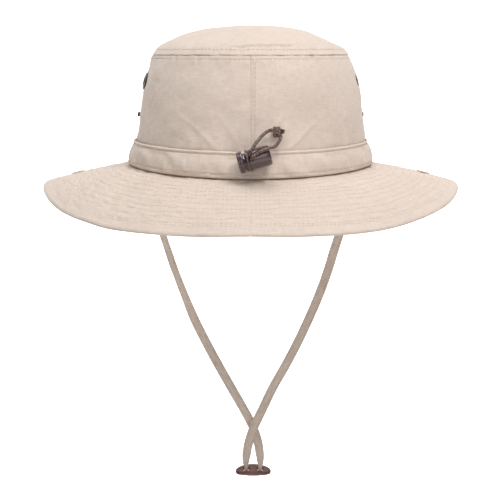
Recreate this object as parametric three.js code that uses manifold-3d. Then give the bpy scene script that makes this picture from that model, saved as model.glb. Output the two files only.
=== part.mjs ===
// A boonie hat, in millimetres. +Z is up, +Y is the front of the hat, +X its right when seen from behind.
// The origin is the centre of the head opening, level with the crown's lower edge at the sides.
import * as THREE from 'three';
import * as BufferGeometryUtils from 'three/addons/utils/BufferGeometryUtils.js';
import Module from 'manifold-3d';

const wasm = await Module();
wasm.setup();

// ---------------------------------------------------------------- driving dimensions
const GAP = 0.3; // clearance kept between neighbouring pieces
const HALF_STEPS = 20; // facets round one half of the hat

const CROWN_ROOT_X = 87.5; // half width of the crown's outside at its lower edge
const CROWN_LENGTHEN = 17; // how much longer than wide the crown is, on each side
const CROWN_HEIGHT = 80; // lower edge to tip seam
const CROWN_TAPER = 0.125; // narrowing per millimetre of height
const CROWN_SHOULDER = 48; // height where the side starts to round over
const CROWN_ROUNDING = 5; // further narrowing at the tip seam
const ROOT_DIP = 2.7; // how far front and back of the lower edge hang below the sides
const TIP_RISE = 20.8; // dome height above the tip seam
const CLOTH = 1.0; // crown cloth with its turned seams

const BAND_HEIGHT = 17.4;
const BAND_CLOTH = 0.8;
const BAND_PROFILE = [ // height, distance of the outside from the crown
  [0.6, 1.2], [2.0, 3.4], [4.0, 4.2], [7.0, 4.2], [11.0, 3.3], [15.0, 1.9], [BAND_HEIGHT, 1.2],
];
const OPENING_HALF_WIDTH = 4.2; // opening at centre back that the drawcord comes out of
const OPENING_LOW = 5.0;
const OPENING_HIGH = 11.6;

const SWEATBAND_INSET = 3.0; // crown outside to sweatband outside
const SWEATBAND_THICK = 1.2;
const SWEATBAND_LOW = 1.0;
const SWEATBAND_HIGH = 31;
const TAPE_INSET = 1.35;
const SEAM_TAPE_INSET = 1.8;
const TAPE_THICK = 0.5;

const BRIM_ROOT_X = 86.8;
const BRIM_EDGE_X = 154.7;
const BRIM_EDGE_Y = 166.1;
const BRIM_ROOT_Z = -0.5;
const BRIM_EDGE_Z_SIDE = -15.8;
const BRIM_EDGE_Z_END = -32.9;
const BRIM_EDGE_Z_CORNER = -4.1; // extra droop between side and end
const BRIM_STRAIGHT = 0.57; // 1 is a straight slope, less curves down to the edge
const BRIM_LAYERS = { top: [0, 0.7], interlining: [1.15, 1.65], bottom: [2.1, 2.8] }; // depths
const FOLD_X = 94.5; // the brim's side folds up about this fore-and-aft line
const FOLD_Z = -1.2;
const FOLD_ANGLE = THREE.MathUtils.degToRad(114.2);

const VENT_SPACING = 44;
const VENT_Z = 61;
const SNAP_Y = 12;
const SNAP_Z = 35;
const SOCKET_INSET = 1.3; // the brim curves down, so the socket sits this much nearer the crown
const VENT_HOLE_RADIUS = 4.25;
const SNAP_HOLE_RADIUS = 1.25;
const FACET_SINK = 0.3; // the faceted cloth lies this far inside the smooth surface

const LOCK_CENTRE = new THREE.Vector3(2.5, -114.8, 11.4);
const LOCK_TILT = THREE.MathUtils.degToRad(15); // right end up
const LOCK_ROLL = THREE.MathUtils.degToRad(18); // cord hole turned upward in front
const LOCK_LEFT = -11.4;
const LOCK_RIGHT = 11.4;
const BARREL_END_WALL = 1.8;
const BARREL_END_ROUND = 0.8;
const BARREL_RADIUS = 7.1;
const BARREL_BORE = 5.6;
const BARREL_LEFT = -5.4;
const BEAD_RIGHT = -3.9;
const FLANGE_RADIUS = 7.4;
const FLANGE_RIGHT = -7.5;
const FLANGE_GROOVE = 0.5;
const PLUNGER_RADIUS = 5.25;
const PLUNGER_RIGHT = 4.2;
const PLUNGER_SLOT_LENGTH = 4.5;
const SPRING_WIRE = 0.7;
const SPRING_RADIUS = 3.6;
const SPRING_TURNS = 2.5;
const CORD_HOLE_AT = -1.9; // place of the cord hole along the lock
const CORD_DIAMETER = 2.3;
const CORD_PITCH = 2.7; // between the two strands in the lock
const CHANNEL_Z = 5.5; // the drawcord's place in the hatband
const CHANNEL_OUT = 1.6;
const CHANNEL_END = 6.4 / CROWN_ROOT_X; // the drawcord's ends stop this far from centre back

const STRAP_WIDTH = 7.0;
const STRAP_THICK = 1.4;
const STRAP_ANCHOR_X = 85.4;
const TAB_OUTSIDE = -1.65; // the strap's sewn ends lie between crown and sweatband
const TAB_THICK = 0.9;
const SLIDER_CENTRE = new THREE.Vector3(2.0, 0, -240.5);
const SLIDER_LENGTH = 27.5;
const SLIDER_DEPTH = 15;
const SLIDER_THICK = 2.6;
const SLIDER_TILT = THREE.MathUtils.degToRad(14); // rear edge down
const SLIDER_DROOP = 1.2; // how far its two ends curve down
const SLIDER_BEVEL = 0.5;
const SLIDER_HOLE_RADIUS = 2.7;
const SLIDER_HOLE_X = 5.4;

// ---------------------------------------------------------------- materials
const finish = (color, roughness, metalness = 0) => ({ color, roughness, metalness });
const TWILL = finish(0xd9c8bb, 0.92);
const TWILL_INSIDE = finish(0xcdbcae, 0.93);
const LINING = finish(0xe4dcd2, 0.95);
const TAPE = finish(0xc6b4a4, 0.9);
const ELASTIC = finish(0x6e5a4c, 0.8);
const LOCK_PLASTIC = finish(0x4f3c3c, 0.3);
const DARK_METAL = finish(0x5a504b, 0.38, 1);
const TAN_METAL = finish(0xb9a797, 0.5, 0.4);
const STEEL = finish(0xb8b8ba, 0.3, 1);
const LEATHER = finish(0x5c3f38, 0.6);

const hat = new THREE.Group();

// Puts a geometry into the hat, or into a turned group of it, as one named piece.
function addPiece(name, geometry, look, parent = hat) {
  const mesh = new THREE.Mesh(geometry, new THREE.MeshStandardMaterial(look));
  mesh.name = name;
  parent.add(mesh);
  return mesh;
}

// ---------------------------------------------------------------- solids
// A closed geometry as a solid that can be cut and joined.
function toSolid(geometry) {
  const bare = geometry.clone();
  bare.deleteAttribute('normal');
  bare.deleteAttribute('uv');
  const merged = BufferGeometryUtils.mergeVertices(bare, 1e-4);
  return new wasm.Manifold(new wasm.Mesh({
    numProp: 3,
    vertProperties: new Float32Array(merged.attributes.position.array),
    triVerts: new Uint32Array(merged.index.array),
  }));
}

function toGeometry(solid) {
  const mesh = solid.getMesh();
  const geometry = new THREE.BufferGeometry();
  const positions = new Float32Array(mesh.numVert * 3);
  for (let i = 0; i < mesh.numVert; i += 1) {
    for (let k = 0; k < 3; k += 1) {
      positions[3 * i + k] = mesh.vertProperties[i * mesh.numProp + k];
    }
  }
  geometry.setAttribute('position', new THREE.BufferAttribute(positions, 3));
  geometry.setIndex([...mesh.triVerts]);
  geometry.computeVertexNormals();
  return geometry;
}

function fromTriangles(points, triangles) {
  const geometry = new THREE.BufferGeometry();
  geometry.setAttribute('position', new THREE.Float32BufferAttribute(points.flatMap((p) => p.toArray()), 3));
  geometry.setIndex(triangles);
  geometry.computeVertexNormals();
  return geometry;
}

// A closed skin over a row of sections, each a loop of points running the same way round.
// A ring joins its last section to its first; otherwise flat ends close it.
function loft(sections, ring = false) {
  const size = sections[0].length;
  const points = sections.flat();
  const triangles = [];
  const spans = ring ? sections.length : sections.length - 1;
  for (let i = 0; i < spans; i += 1) {
    const here = i * size;
    const next = ((i + 1) % sections.length) * size;
    for (let j = 0; j < size; j += 1) {
      const k = (j + 1) % size;
      triangles.push(here + j, here + k, next + k, here + j, next + k, next + j);
    }
  }
  if (!ring) {
    const last = (sections.length - 1) * size;
    const flat = THREE.ShapeUtils.triangulateShape(flatten(sections[0]), []);
    const flatLast = THREE.ShapeUtils.triangulateShape(flatten(sections[sections.length - 1]), []);
    flat.forEach(([a, b, c]) => triangles.push(a, c, b));
    flatLast.forEach(([a, b, c]) => triangles.push(last + a, last + b, last + c));
  }
  return turnOutward(fromTriangles(points, triangles));
}

// A section's points in its own plane, for closing its end.
function flatten(section) {
  const centre = section.reduce((sum, p) => sum.add(p), new THREE.Vector3()).divideScalar(section.length);
  const normal = new THREE.Vector3();
  section.forEach((p, i) => {
    const q = section[(i + 1) % section.length];
    normal.add(p.clone().sub(centre).cross(q.clone().sub(centre)));
  });
  normal.normalize();
  const across = section[0].clone().sub(centre).normalize();
  const up = normal.clone().cross(across);
  return section.map((p) => {
    const d = p.clone().sub(centre);
    return new THREE.Vector2(d.dot(across), d.dot(up));
  });
}

function signedVolume(geometry) {
  const position = geometry.attributes.position;
  const index = geometry.index.array;
  const corner = (i) => new THREE.Vector3().fromBufferAttribute(position, index[i]);
  let volume = 0;
  for (let i = 0; i < index.length; i += 3) {
    volume += corner(i).dot(corner(i + 1).cross(corner(i + 2))) / 6;
  }
  return volume;
}

function turnOutward(geometry) {
  if (signedVolume(geometry) < 0) {
    const index = geometry.index.array;
    for (let i = 0; i < index.length; i += 3) {
      [index[i + 1], index[i + 2]] = [index[i + 2], index[i + 1]];
    }
    geometry.computeVertexNormals();
  }
  return geometry;
}

// A solid of revolution about +Z, from an outline of [radius, height] that starts and ends on the axis.
function disc(outline, segments) {
  const geometry = new THREE.LatheGeometry(outline.map(([r, z]) => new THREE.Vector2(r, z)), segments);
  geometry.rotateX(Math.PI / 2);
  geometry.deleteAttribute('normal');
  geometry.deleteAttribute('uv');
  return turnOutward(BufferGeometryUtils.mergeVertices(geometry, 1e-4));
}

// The same with a hole along its axis: the outline closes on itself.
function ringPiece(outline, segments) {
  return disc([...outline, outline[0]], segments);
}

function rod(radius, length, segments = 12) {
  return new THREE.CylinderGeometry(radius, radius, length, segments);
}

// ---------------------------------------------------------------- the hat's surfaces
// Angles run anticlockwise from +X seen from above, so the back of the hat is at -90 degrees.
const BACK = -Math.PI / 2;
const SIDES = { right: BACK, left: Math.PI / 2 }; // where each half starts

function crownHalfWidth(z) {
  const over = Math.max(0, (z - CROWN_SHOULDER) / (CROWN_HEIGHT - CROWN_SHOULDER));
  return CROWN_ROOT_X - CROWN_TAPER * z - CROWN_ROUNDING * over * over;
}

// How far a point of the crown at this angle and height hangs below its nominal height.
function dip(angle, z) {
  return ROOT_DIP * Math.sin(angle) ** 2 * (1 - z / CROWN_HEIGHT);
}

// A point at an outward distance from the crown's outside.
function onCrown(angle, z, outward) {
  const halfWidth = crownHalfWidth(z) + outward;
  return new THREE.Vector3(
    halfWidth * Math.cos(angle),
    (halfWidth + CROWN_LENGTHEN) * Math.sin(angle),
    z - dip(angle, z),
  );
}

// Outward normal of the crown's outside.
function crownNormal(angle, z) {
  const step = 0.01;
  const along = onCrown(angle + step, z, 0).sub(onCrown(angle - step, z, 0));
  const up = onCrown(angle, z + step, 0).sub(onCrown(angle, z - step, 0));
  return along.cross(up).normalize();
}

// A point of the brim: t runs from 0 at the root to 1 at the edge, depth downward from its top face.
function onBrim(angle, t, depth) {
  const s2 = Math.sin(angle) ** 2;
  const corner = Math.sin(2 * angle) ** 2;
  const edgeZ = BRIM_EDGE_Z_SIDE + (BRIM_EDGE_Z_END - BRIM_EDGE_Z_SIDE) * s2 + BRIM_EDGE_Z_CORNER * corner;
  const rootZ = BRIM_ROOT_Z - ROOT_DIP * s2;
  const rootY = BRIM_ROOT_X + CROWN_LENGTHEN;
  const slope = BRIM_STRAIGHT * t + (1 - BRIM_STRAIGHT) * t * t;
  return new THREE.Vector3(
    (BRIM_ROOT_X + (BRIM_EDGE_X - BRIM_ROOT_X) * t) * Math.cos(angle),
    (rootY + (BRIM_EDGE_Y - rootY) * t) * Math.sin(angle),
    rootZ + (edgeZ - rootZ) * slope - depth,
  );
}

// Angles over one half of the hat, stopping half a gap short of centre back and centre front.
function halfAngles(start) {
  const margin = GAP / 2 / CROWN_ROOT_X;
  return Array.from({ length: HALF_STEPS + 1 }, (_, i) => {
    const angle = start + (Math.PI * i) / HALF_STEPS;
    if (i === 0) return angle + margin;
    if (i === HALF_STEPS) return angle - margin;
    return angle;
  });
}

function ringAngles() {
  return Array.from({ length: 2 * HALF_STEPS }, (_, i) => BACK + (Math.PI * i) / HALF_STEPS);
}

// Closed outline of a cloth seen in cross-section: up its outside and back down its inside.
function clothOutline(heights, outside, thickness) {
  const up = heights.map((z) => [z, outside]);
  const down = heights.map((z) => [z, outside - thickness]).reverse();
  return [...up, ...down];
}

function crownLoft(angles, outline, ring = false) {
  return loft(angles.map((angle) => outline.map(([z, outward]) => onCrown(angle, z, outward))), ring);
}

function evenly(from, to, steps) {
  return Array.from({ length: steps + 1 }, (_, i) => from + ((to - from) * i) / steps);
}

// ---------------------------------------------------------------- small hardware places
function ventAngle(side, end) {
  const reach = Math.asin((end * VENT_SPACING) / 2 / (crownHalfWidth(VENT_Z) + CROWN_LENGTHEN));
  return side > 0 ? reach : Math.PI - reach;
}

function snapAngle(side) {
  const reach = Math.asin(SNAP_Y / (crownHalfWidth(SNAP_Z) + CROWN_LENGTHEN));
  return side > 0 ? reach : Math.PI - reach;
}

// A group standing on a surface, its own +Z along the outward normal.
function standOn(point, normal) {
  const group = new THREE.Group();
  group.position.copy(point);
  group.quaternion.setFromUnitVectors(new THREE.Vector3(0, 0, 1), normal);
  group.updateMatrix();
  return group;
}

function standOnCrown(angle, z) {
  const normal = crownNormal(angle, z);
  return standOn(onCrown(angle, z, 0).addScaledVector(normal, -FACET_SINK), normal);
}

const vents = [];
[['left', -1], ['right', 1]].forEach(([sideName, side]) => {
  [['rear', -1], ['front', 1]].forEach(([endName, end]) => {
    vents.push({ name: `${sideName}_${endName}`, side, group: standOnCrown(ventAngle(side, end), VENT_Z) });
  });
});

const studs = [['left', -1], ['right', 1]].map(([name, side]) => (
  { name, side, group: standOnCrown(snapAngle(side), SNAP_Z) }
));

function holeThrough(group, radius, length) {
  const cutter = rod(radius, length);
  cutter.rotateX(Math.PI / 2);
  cutter.applyMatrix4(group.matrix);
  return toSolid(cutter);
}

// ---------------------------------------------------------------- crown
function buildCrown() {
  const outline = clothOutline(evenly(0, CROWN_HEIGHT - GAP / 2, 6), 0, CLOTH);
  Object.entries(SIDES).forEach(([name, start]) => {
    const side = name === 'right' ? 1 : -1;
    let solid = toSolid(crownLoft(halfAngles(start), outline));
    vents.filter((vent) => vent.side === side).forEach((vent) => {
      solid = solid.subtract(holeThrough(vent.group, VENT_HOLE_RADIUS, 12));
    });
    studs.filter((stud) => stud.side === side).forEach((stud) => {
      solid = solid.subtract(holeThrough(stud.group, SNAP_HOLE_RADIUS, 12));
    });
    addPiece(`crown_side_${name}`, toGeometry(solid), TWILL);
  });
}

// Height of the dome above the tip seam, with its own soft shoulder near the seam.
function domeRise(r) {
  return TIP_RISE * (1 - 0.74 * r ** 2.2 - 0.26 * r ** 16);
}

function buildTip() {
  const rings = [0.14, 0.36, 0.58, 0.76, 0.9, 1];
  const seamX = crownHalfWidth(CROWN_HEIGHT);
  const place = (angle, r, drop) => new THREE.Vector3(
    (seamX - drop) * r * Math.cos(angle),
    (seamX + CROWN_LENGTHEN - drop) * r * Math.sin(angle),
    CROWN_HEIGHT + GAP / 2 + domeRise(r) - (r < 1 ? drop : 0),
  );
  const sections = [];
  rings.forEach((r) => sections.push(ringAngles().map((angle) => place(angle, r, 0))));
  [...rings].reverse().forEach((r) => sections.push(ringAngles().map((angle) => place(angle, r, CLOTH))));
  addPiece('crown_tip', loft(sections), TWILL);
}

function buildTapes() {
  const halfWidth = 6 / CROWN_ROOT_X;
  const strip = clothOutline(evenly(SWEATBAND_HIGH + 2, 70, 3), -SEAM_TAPE_INSET, TAPE_THICK);
  [['back', BACK], ['front', -BACK]].forEach(([name, centre]) => {
    const span = [centre - halfWidth, centre, centre + halfWidth];
    addPiece(`crown_seam_tape_${name}`, crownLoft(span, strip), TAPE);
  });
  const hoop = clothOutline([72, 75, 78], -TAPE_INSET, TAPE_THICK);
  addPiece('tip_seam_tape', crownLoft(ringAngles(), hoop, true), TAPE);
}

function buildSweatband() {
  const outline = clothOutline(evenly(SWEATBAND_LOW, SWEATBAND_HIGH, 2), -SWEATBAND_INSET, SWEATBAND_THICK);
  addPiece('sweatband', crownLoft(ringAngles(), outline, true), LINING);
}

// ---------------------------------------------------------------- hatband with its channel
function buildHatband() {
  const last = BAND_PROFILE.length - 1;
  const inside = BAND_PROFILE.map(([z, out], i) => {
    const lip = i === 0 || i === last;
    return [z, lip ? GAP : out - BAND_CLOTH];
  });
  const outline = [...BAND_PROFILE, ...inside.reverse()];
  const height = OPENING_HIGH - OPENING_LOW;
  const cutter = new THREE.BoxGeometry(2 * OPENING_HALF_WIDTH, 20, height);
  cutter.translate(0, -CROWN_ROOT_X - CROWN_LENGTHEN, OPENING_LOW + height / 2);
  Object.entries(SIDES).forEach(([name, start]) => {
    const band = toSolid(crownLoft(halfAngles(start), outline)).subtract(toSolid(cutter));
    addPiece(`hatband_${name}`, toGeometry(band), TWILL);
  });
}

// ---------------------------------------------------------------- brim
function brimLayer(start, [upper, lower]) {
  const rows = evenly(0, 1, 4);
  return toSolid(loft(halfAngles(start).map((angle) => [
    ...rows.map((t) => onBrim(angle, t, upper)),
    ...rows.map((t) => onBrim(angle, t, lower)).reverse(),
  ])));
}

// Everything on one side beyond the fold line.
function beyondFold(side) {
  const size = 400;
  const box = new THREE.BoxGeometry(size, size, size);
  box.translate(side * (FOLD_X + size / 2), 0, 0);
  return box;
}

// The place on the resting brim that comes up against a point of the crown when the side folds up.
function unfold(point, side) {
  const x = side * point.x - FOLD_X;
  const z = point.z - FOLD_Z;
  const reach = Math.hypot(x, z);
  const angle = Math.atan2(z, x) - FOLD_ANGLE;
  const unfoldedX = FOLD_X + reach * Math.cos(angle) - SOCKET_INSET;
  return new THREE.Vector3(side * unfoldedX, point.y, FOLD_Z + reach * Math.sin(angle));
}

// Finds the angle and t of the brim above or below a point, by a few rounds of correction.
function brimAt(x, y) {
  const rootY = BRIM_ROOT_X + CROWN_LENGTHEN;
  let t = 0.5;
  let angle = 0;
  for (let i = 0; i < 40; i += 1) {
    const halfX = BRIM_ROOT_X + (BRIM_EDGE_X - BRIM_ROOT_X) * t;
    const halfY = rootY + (BRIM_EDGE_Y - rootY) * t;
    angle = Math.atan2(y / halfY, x / halfX);
    t += (Math.hypot(x / halfX, y / halfY) - 1) * 1.2;
  }
  return { angle, t };
}

function socketGroup(stud) {
  const target = unfold(stud.group.position, stud.side);
  const { angle, t } = brimAt(target.x, target.y);
  const step = 0.01;
  const along = onBrim(angle + step, t, 0).sub(onBrim(angle - step, t, 0));
  const outward = onBrim(angle, t + step, 0).sub(onBrim(angle, t - step, 0));
  const normal = outward.cross(along).normalize();
  return standOn(onBrim(angle, t, 0), normal);
}

const sockets = studs.map((stud) => ({ name: stud.name, side: stud.side, group: socketGroup(stud) }));

function buildBrim() {
  Object.entries(SIDES).forEach(([name, start]) => {
    const side = name === 'right' ? 1 : -1;
    const socket = sockets.find((item) => item.side === side);
    const outer = toSolid(beyondFold(side).translate(side * GAP * 0.7, 0, 0));
    const inner = toSolid(beyondFold(side).translate(-side * GAP * 0.7, 0, 0));
    Object.entries(BRIM_LAYERS).forEach(([layer, depths]) => {
      const looks = { top: TWILL, interlining: LINING, bottom: TWILL_INSIDE };
      const whole = brimLayer(start, depths);
      const flap = whole.intersect(outer).subtract(holeThrough(socket.group, SNAP_HOLE_RADIUS, 12));
      addPiece(`brim_${layer}_${name}`, toGeometry(whole.subtract(inner)), looks[layer]);
      addPiece(`brim_flap_${layer}_${name}`, toGeometry(flap), looks[layer]);
    });
  });
}

// ---------------------------------------------------------------- vents and side snaps
function buildVents() {
  const eyelet = [
    [3.3, -2.2], [3.9, -2.2], [3.9, 0.35], [6.25, 0.35],
    [6.1, 0.8], [5.0, 1.2], [3.9, 1.2], [3.3, 0.7],
  ];
  const washer = [
    [4.3, -1.65], [6.2, -1.65], [6.2, -3.6], [3.5, -3.6],
    [3.5, -3.25], [5.85, -3.25], [5.85, -2.2], [4.3, -2.2],
  ];
  const screen = [[0, -2.9], [5.5, -2.9], [5.5, -2.5], [0, -2.5]];
  vents.forEach((vent) => {
    hat.add(vent.group);
    addPiece(`vent_eyelet_${vent.name}`, ringPiece(eyelet, 14), DARK_METAL, vent.group);
    addPiece(`vent_washer_${vent.name}`, ringPiece(washer, 14), DARK_METAL, vent.group);
    addPiece(`vent_screen_${vent.name}`, disc(screen, 14), DARK_METAL, vent.group);
  });
}

function buildSnaps() {
  const stud = [
    [0, 2.4], [1.25, 2.4], [1.25, 0.35], [5.0, 0.35], [4.8, 0.75], [1.7, 0.9], [1.6, 2.3], [1.95, 2.8],
    [1.4, 3.3], [0, 3.3],
  ];
  const post = [[0, -1.9], [5.0, -1.9], [5.0, -1.35], [0.95, -1.35], [0.95, 2.1], [0, 2.1]];
  const socket = [[1.25, 0.35], [5.0, 0.35], [4.8, 1.25], [2.5, 1.25], [2.5, 0.85], [1.25, 0.85]];
  const cap = [[0, -4.0], [4.4, -3.8], [5.2, -3.25], [0.95, -3.25], [0.95, 0.7], [0, 0.7]];
  studs.forEach((item) => {
    hat.add(item.group);
    addPiece(`snap_stud_${item.name}`, disc(stud, 12), DARK_METAL, item.group);
    addPiece(`snap_post_${item.name}`, disc(post, 12), TAN_METAL, item.group);
  });
  sockets.forEach((item) => {
    hat.add(item.group);
    addPiece(`snap_socket_${item.name}`, ringPiece(socket, 12), TAN_METAL, item.group);
    addPiece(`snap_cap_${item.name}`, disc(cap, 12), TAN_METAL, item.group);
  });
}

// ---------------------------------------------------------------- drawcord
function roundSection(radius, sides) {
  const shape = new THREE.Shape();
  for (let i = 0; i < sides; i += 1) {
    const angle = (2 * Math.PI * i) / sides;
    const x = radius * Math.cos(angle);
    const y = radius * Math.sin(angle);
    if (i === 0) shape.moveTo(x, y);
    else shape.lineTo(x, y);
  }
  shape.closePath();
  return shape;
}

function extrudeAlong(path, section, steps) {
  return new THREE.ExtrudeGeometry(section, { steps, bevelEnabled: false, extrudePath: path });
}

function cordAlong(route, steps, diameter = CORD_DIAMETER) {
  const points = route.map((p) => new THREE.Vector3(...p));
  const path = new THREE.CatmullRomCurve3(points, false, 'centripetal');
  return extrudeAlong(path, roundSection(diameter / 2, 8), steps);
}

function buildDrawcord() {
  const sweep = evenly(BACK + CHANNEL_END, BACK + 2 * Math.PI - CHANNEL_END, 48);
  const route = sweep.map((angle) => onCrown(angle, CHANNEL_Z, CHANNEL_OUT).toArray());
  addPiece('drawcord', cordAlong(route, 50), ELASTIC);
}

// Routes of the two free strands: out of the opening, through the lock, round to the knot.
const STRAND_LEFT = [
  [-5.4, -105.1, 3.2], [-3.6, -105.2, 4.6], [-2.1, -105.3, 6.8], [-0.6, -106.2, 8.8], [0.7, -107.9, 10.1],
  [0.5, -111.0, 11.1], [0.2, -114.4, 12.2], [-0.1, -118.0, 13.3], [-0.3, -120.8, 14.4], [0.1, -122.2, 16.4],
  [1.5, -121.8, 19.2], [3.2, -120.3, 22.0], [5.4, -117.7, 24.6], [8.6, -113.0, 27.7], [12.0, -107.8, 29.7],
  [14.0, -104.6, 30.0],
];
const STRAND_RIGHT = [
  [5.4, -105.1, 3.2], [4.0, -105.2, 3.9], [3.0, -105.4, 5.2], [2.2, -106.5, 6.8], [1.5, -108.6, 7.6],
  [1.2, -112.0, 8.5], [0.9, -115.2, 9.6], [0.6, -118.8, 10.7], [0.5, -121.8, 11.7], [1.1, -123.8, 13.3],
  [3.2, -124.2, 15.1], [6.8, -123.6, 17.2], [11.8, -122.4, 18.9], [16.1, -119.0, 20.1], [19.0, -113.0, 23.1],
  [20.3, -107.4, 25.3], [20.2, -104.4, 26.3],
];
const KNOT_CENTRE = new THREE.Vector3(17.4, -102.6, 28.6);

function buildStrands() {
  addPiece('drawcord_strand_left', cordAlong(STRAND_LEFT, 24), ELASTIC);
  addPiece('drawcord_strand_right', cordAlong(STRAND_RIGHT, 24), ELASTIC);
  const ball = new THREE.SphereGeometry(1, 12, 8);
  ball.scale(2.9, 2.6, 3.4);
  const tails = [[0.9, 0.4], [-1.4, 0.2]].map(([rise, forward]) => {
    const tail = rod(CORD_DIAMETER / 2, 6, 8);
    tail.rotateZ(-Math.PI / 2);
    tail.translate(3.2, forward, rise);
    return tail;
  });
  const knot = tails.reduce((sum, tail) => sum.add(toSolid(tail)), toSolid(ball));
  const geometry = toGeometry(knot);
  geometry.translate(...KNOT_CENTRE.toArray());
  addPiece('drawcord_knot', geometry, ELASTIC);
}

// ---------------------------------------------------------------- cord lock
// Its own frame has X along the barrel, from the plunger's head to the closed end.
function alongX(outline, segments) {
  return disc(outline, segments).rotateY(Math.PI / 2);
}

function cordSlot(from, to) {
  const slot = new THREE.BoxGeometry(to - from, 40, CORD_PITCH + CORD_DIAMETER + 2 * GAP);
  slot.translate((from + to) / 2, 0, 0);
  return toSolid(slot);
}

function buildLock() {
  const tilt = new THREE.Group();
  tilt.position.copy(LOCK_CENTRE);
  tilt.rotation.y = -LOCK_TILT;
  const lock = new THREE.Group();
  lock.rotation.x = -LOCK_ROLL;
  tilt.add(lock);
  hat.add(tilt);

  const half = CORD_DIAMETER / 2 + GAP;
  const barrel = toSolid(alongX([
    [0, LOCK_RIGHT - BARREL_END_WALL], [BARREL_BORE, LOCK_RIGHT - BARREL_END_WALL],
    [BARREL_BORE, BARREL_LEFT], [FLANGE_RADIUS, BARREL_LEFT], [FLANGE_RADIUS, BEAD_RIGHT],
    [BARREL_RADIUS - 0.3, BEAD_RIGHT + 0.1], [BARREL_RADIUS, LOCK_RIGHT - BARREL_END_ROUND],
    [BARREL_RADIUS - BARREL_END_ROUND, LOCK_RIGHT], [0, LOCK_RIGHT],
  ], 24));
  const barrelSlot = cordSlot(CORD_HOLE_AT - half, CORD_HOLE_AT + half);
  addPiece('cord_lock_barrel', toGeometry(barrel.subtract(barrelSlot)), LOCK_PLASTIC, lock);

  const middle = (LOCK_LEFT + FLANGE_RIGHT) / 2;
  const plunger = toSolid(alongX([
    [0, LOCK_LEFT], [FLANGE_RADIUS - 0.7, LOCK_LEFT], [FLANGE_RADIUS, LOCK_LEFT + 0.7],
    [FLANGE_RADIUS, middle - 0.3], [FLANGE_RADIUS - FLANGE_GROOVE, middle], [FLANGE_RADIUS, middle + 0.3],
    [FLANGE_RADIUS, FLANGE_RIGHT], [PLUNGER_RADIUS, FLANGE_RIGHT], [PLUNGER_RADIUS, PLUNGER_RIGHT],
    [0, PLUNGER_RIGHT],
  ], 24));
  const pinch = CORD_HOLE_AT + half;
  const plungerSlot = cordSlot(pinch - PLUNGER_SLOT_LENGTH, pinch);
  addPiece('cord_lock_plunger', toGeometry(plunger.subtract(plungerSlot)), LOCK_PLASTIC, lock);

  addPiece('cord_lock_spring', springGeometry(PLUNGER_RIGHT, LOCK_RIGHT - BARREL_END_WALL), STEEL, lock);
}

function springGeometry(from, to) {
  const start = from + GAP + SPRING_WIRE / 2;
  const length = to - from - 2 * GAP - SPRING_WIRE;
  const points = evenly(0, 1, 30).map((t) => {
    const angle = 2 * Math.PI * SPRING_TURNS * t;
    const side = SPRING_RADIUS * Math.cos(angle);
    const rise = SPRING_RADIUS * Math.sin(angle);
    return new THREE.Vector3(start + length * t, side, rise);
  });
  return extrudeAlong(new THREE.CatmullRomCurve3(points), roundSection(SPRING_WIRE / 2, 6), 36);
}

// ---------------------------------------------------------------- chin strap
// Each station: place, width, thickness, and how far the tape's face has turned from facing sideways
// (0 degrees, as it is sewn in) to facing front and back (90 degrees). It is gathered where it passes
// through the slider.
const FULL = [STRAP_WIDTH, STRAP_THICK];
const GATHERED = [3.9, 2.4];
const BIGHT = [3.0, 2.6];
const STRAP_ROUTE = [
  [[-STRAP_ANCHOR_X, 0, -1.5], FULL, 0], [[-83.9, 0, -8], FULL, 5], [[-79.6, 0, -20], FULL, 20],
  [[-74.0, 0, -35], FULL, 35], [[-68.6, 0, -50], FULL, 45], [[-63.0, 0.2, -67], FULL, 50],
  [[-57.0, 0.4, -85], FULL, 55], [[-49.8, 0.6, -104], FULL, 65], [[-43.0, 0.9, -121], FULL, 85],
  [[-34.8, 1.3, -138], FULL, 90], [[-25.5, 1.7, -156], FULL, 90], [[-15.6, 2.0, -174], FULL, 90],
  [[-5.8, 2.0, -191.5], FULL, 90], [[1.6, 1.7, -206], FULL, 90], [[5.6, 1.1, -218], FULL, 90],
  [[7.2, 0.5, -228], [6.6, 1.5], 90], [[7.6, 0.1, -234], [5.6, 1.9], 90], [[7.4, 0, -238.0], GATHERED, 90],
  [[7.4, 0, -241.0], GATHERED, 90], [[6.5, 0, -243.2], [3.3, 2.4], 90], [[4.3, 0, -243.9], BIGHT, 90],
  [[2.0, 0, -244.0], BIGHT, 90], [[-0.3, 0, -243.9], BIGHT, 90], [[-2.5, 0, -243.2], [3.3, 2.4], 90],
  [[-3.4, 0, -241.0], GATHERED, 90], [[-3.4, 0, -238.0], GATHERED, 90], [[-3.7, -0.1, -234], [5.6, 1.9], 90],
  [[-3.2, -0.5, -228], [6.6, 1.5], 90], [[-1.4, -1.1, -218], FULL, 90], [[2.4, -1.7, -206], FULL, 90],
  [[9.0, -2.0, -191.5], FULL, 90], [[17.2, -2.0, -174], FULL, 90], [[27.2, -1.7, -156], FULL, 90], [[36.4, -1.3, -138], FULL, 90],
  [[44.2, -0.9, -121], FULL, 90], [[51.4, -0.6, -104], FULL, 90], [[58.2, -0.4, -85], FULL, 88],
  [[63.6, -0.2, -67], FULL, 85], [[69.0, 0, -50], FULL, 75], [[74.2, 0, -35], FULL, 55],
  [[79.6, 0, -20], FULL, 30], [[83.9, 0, -8], FULL, 8], [[STRAP_ANCHOR_X, 0, -1.5], FULL, 0],
];

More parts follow.
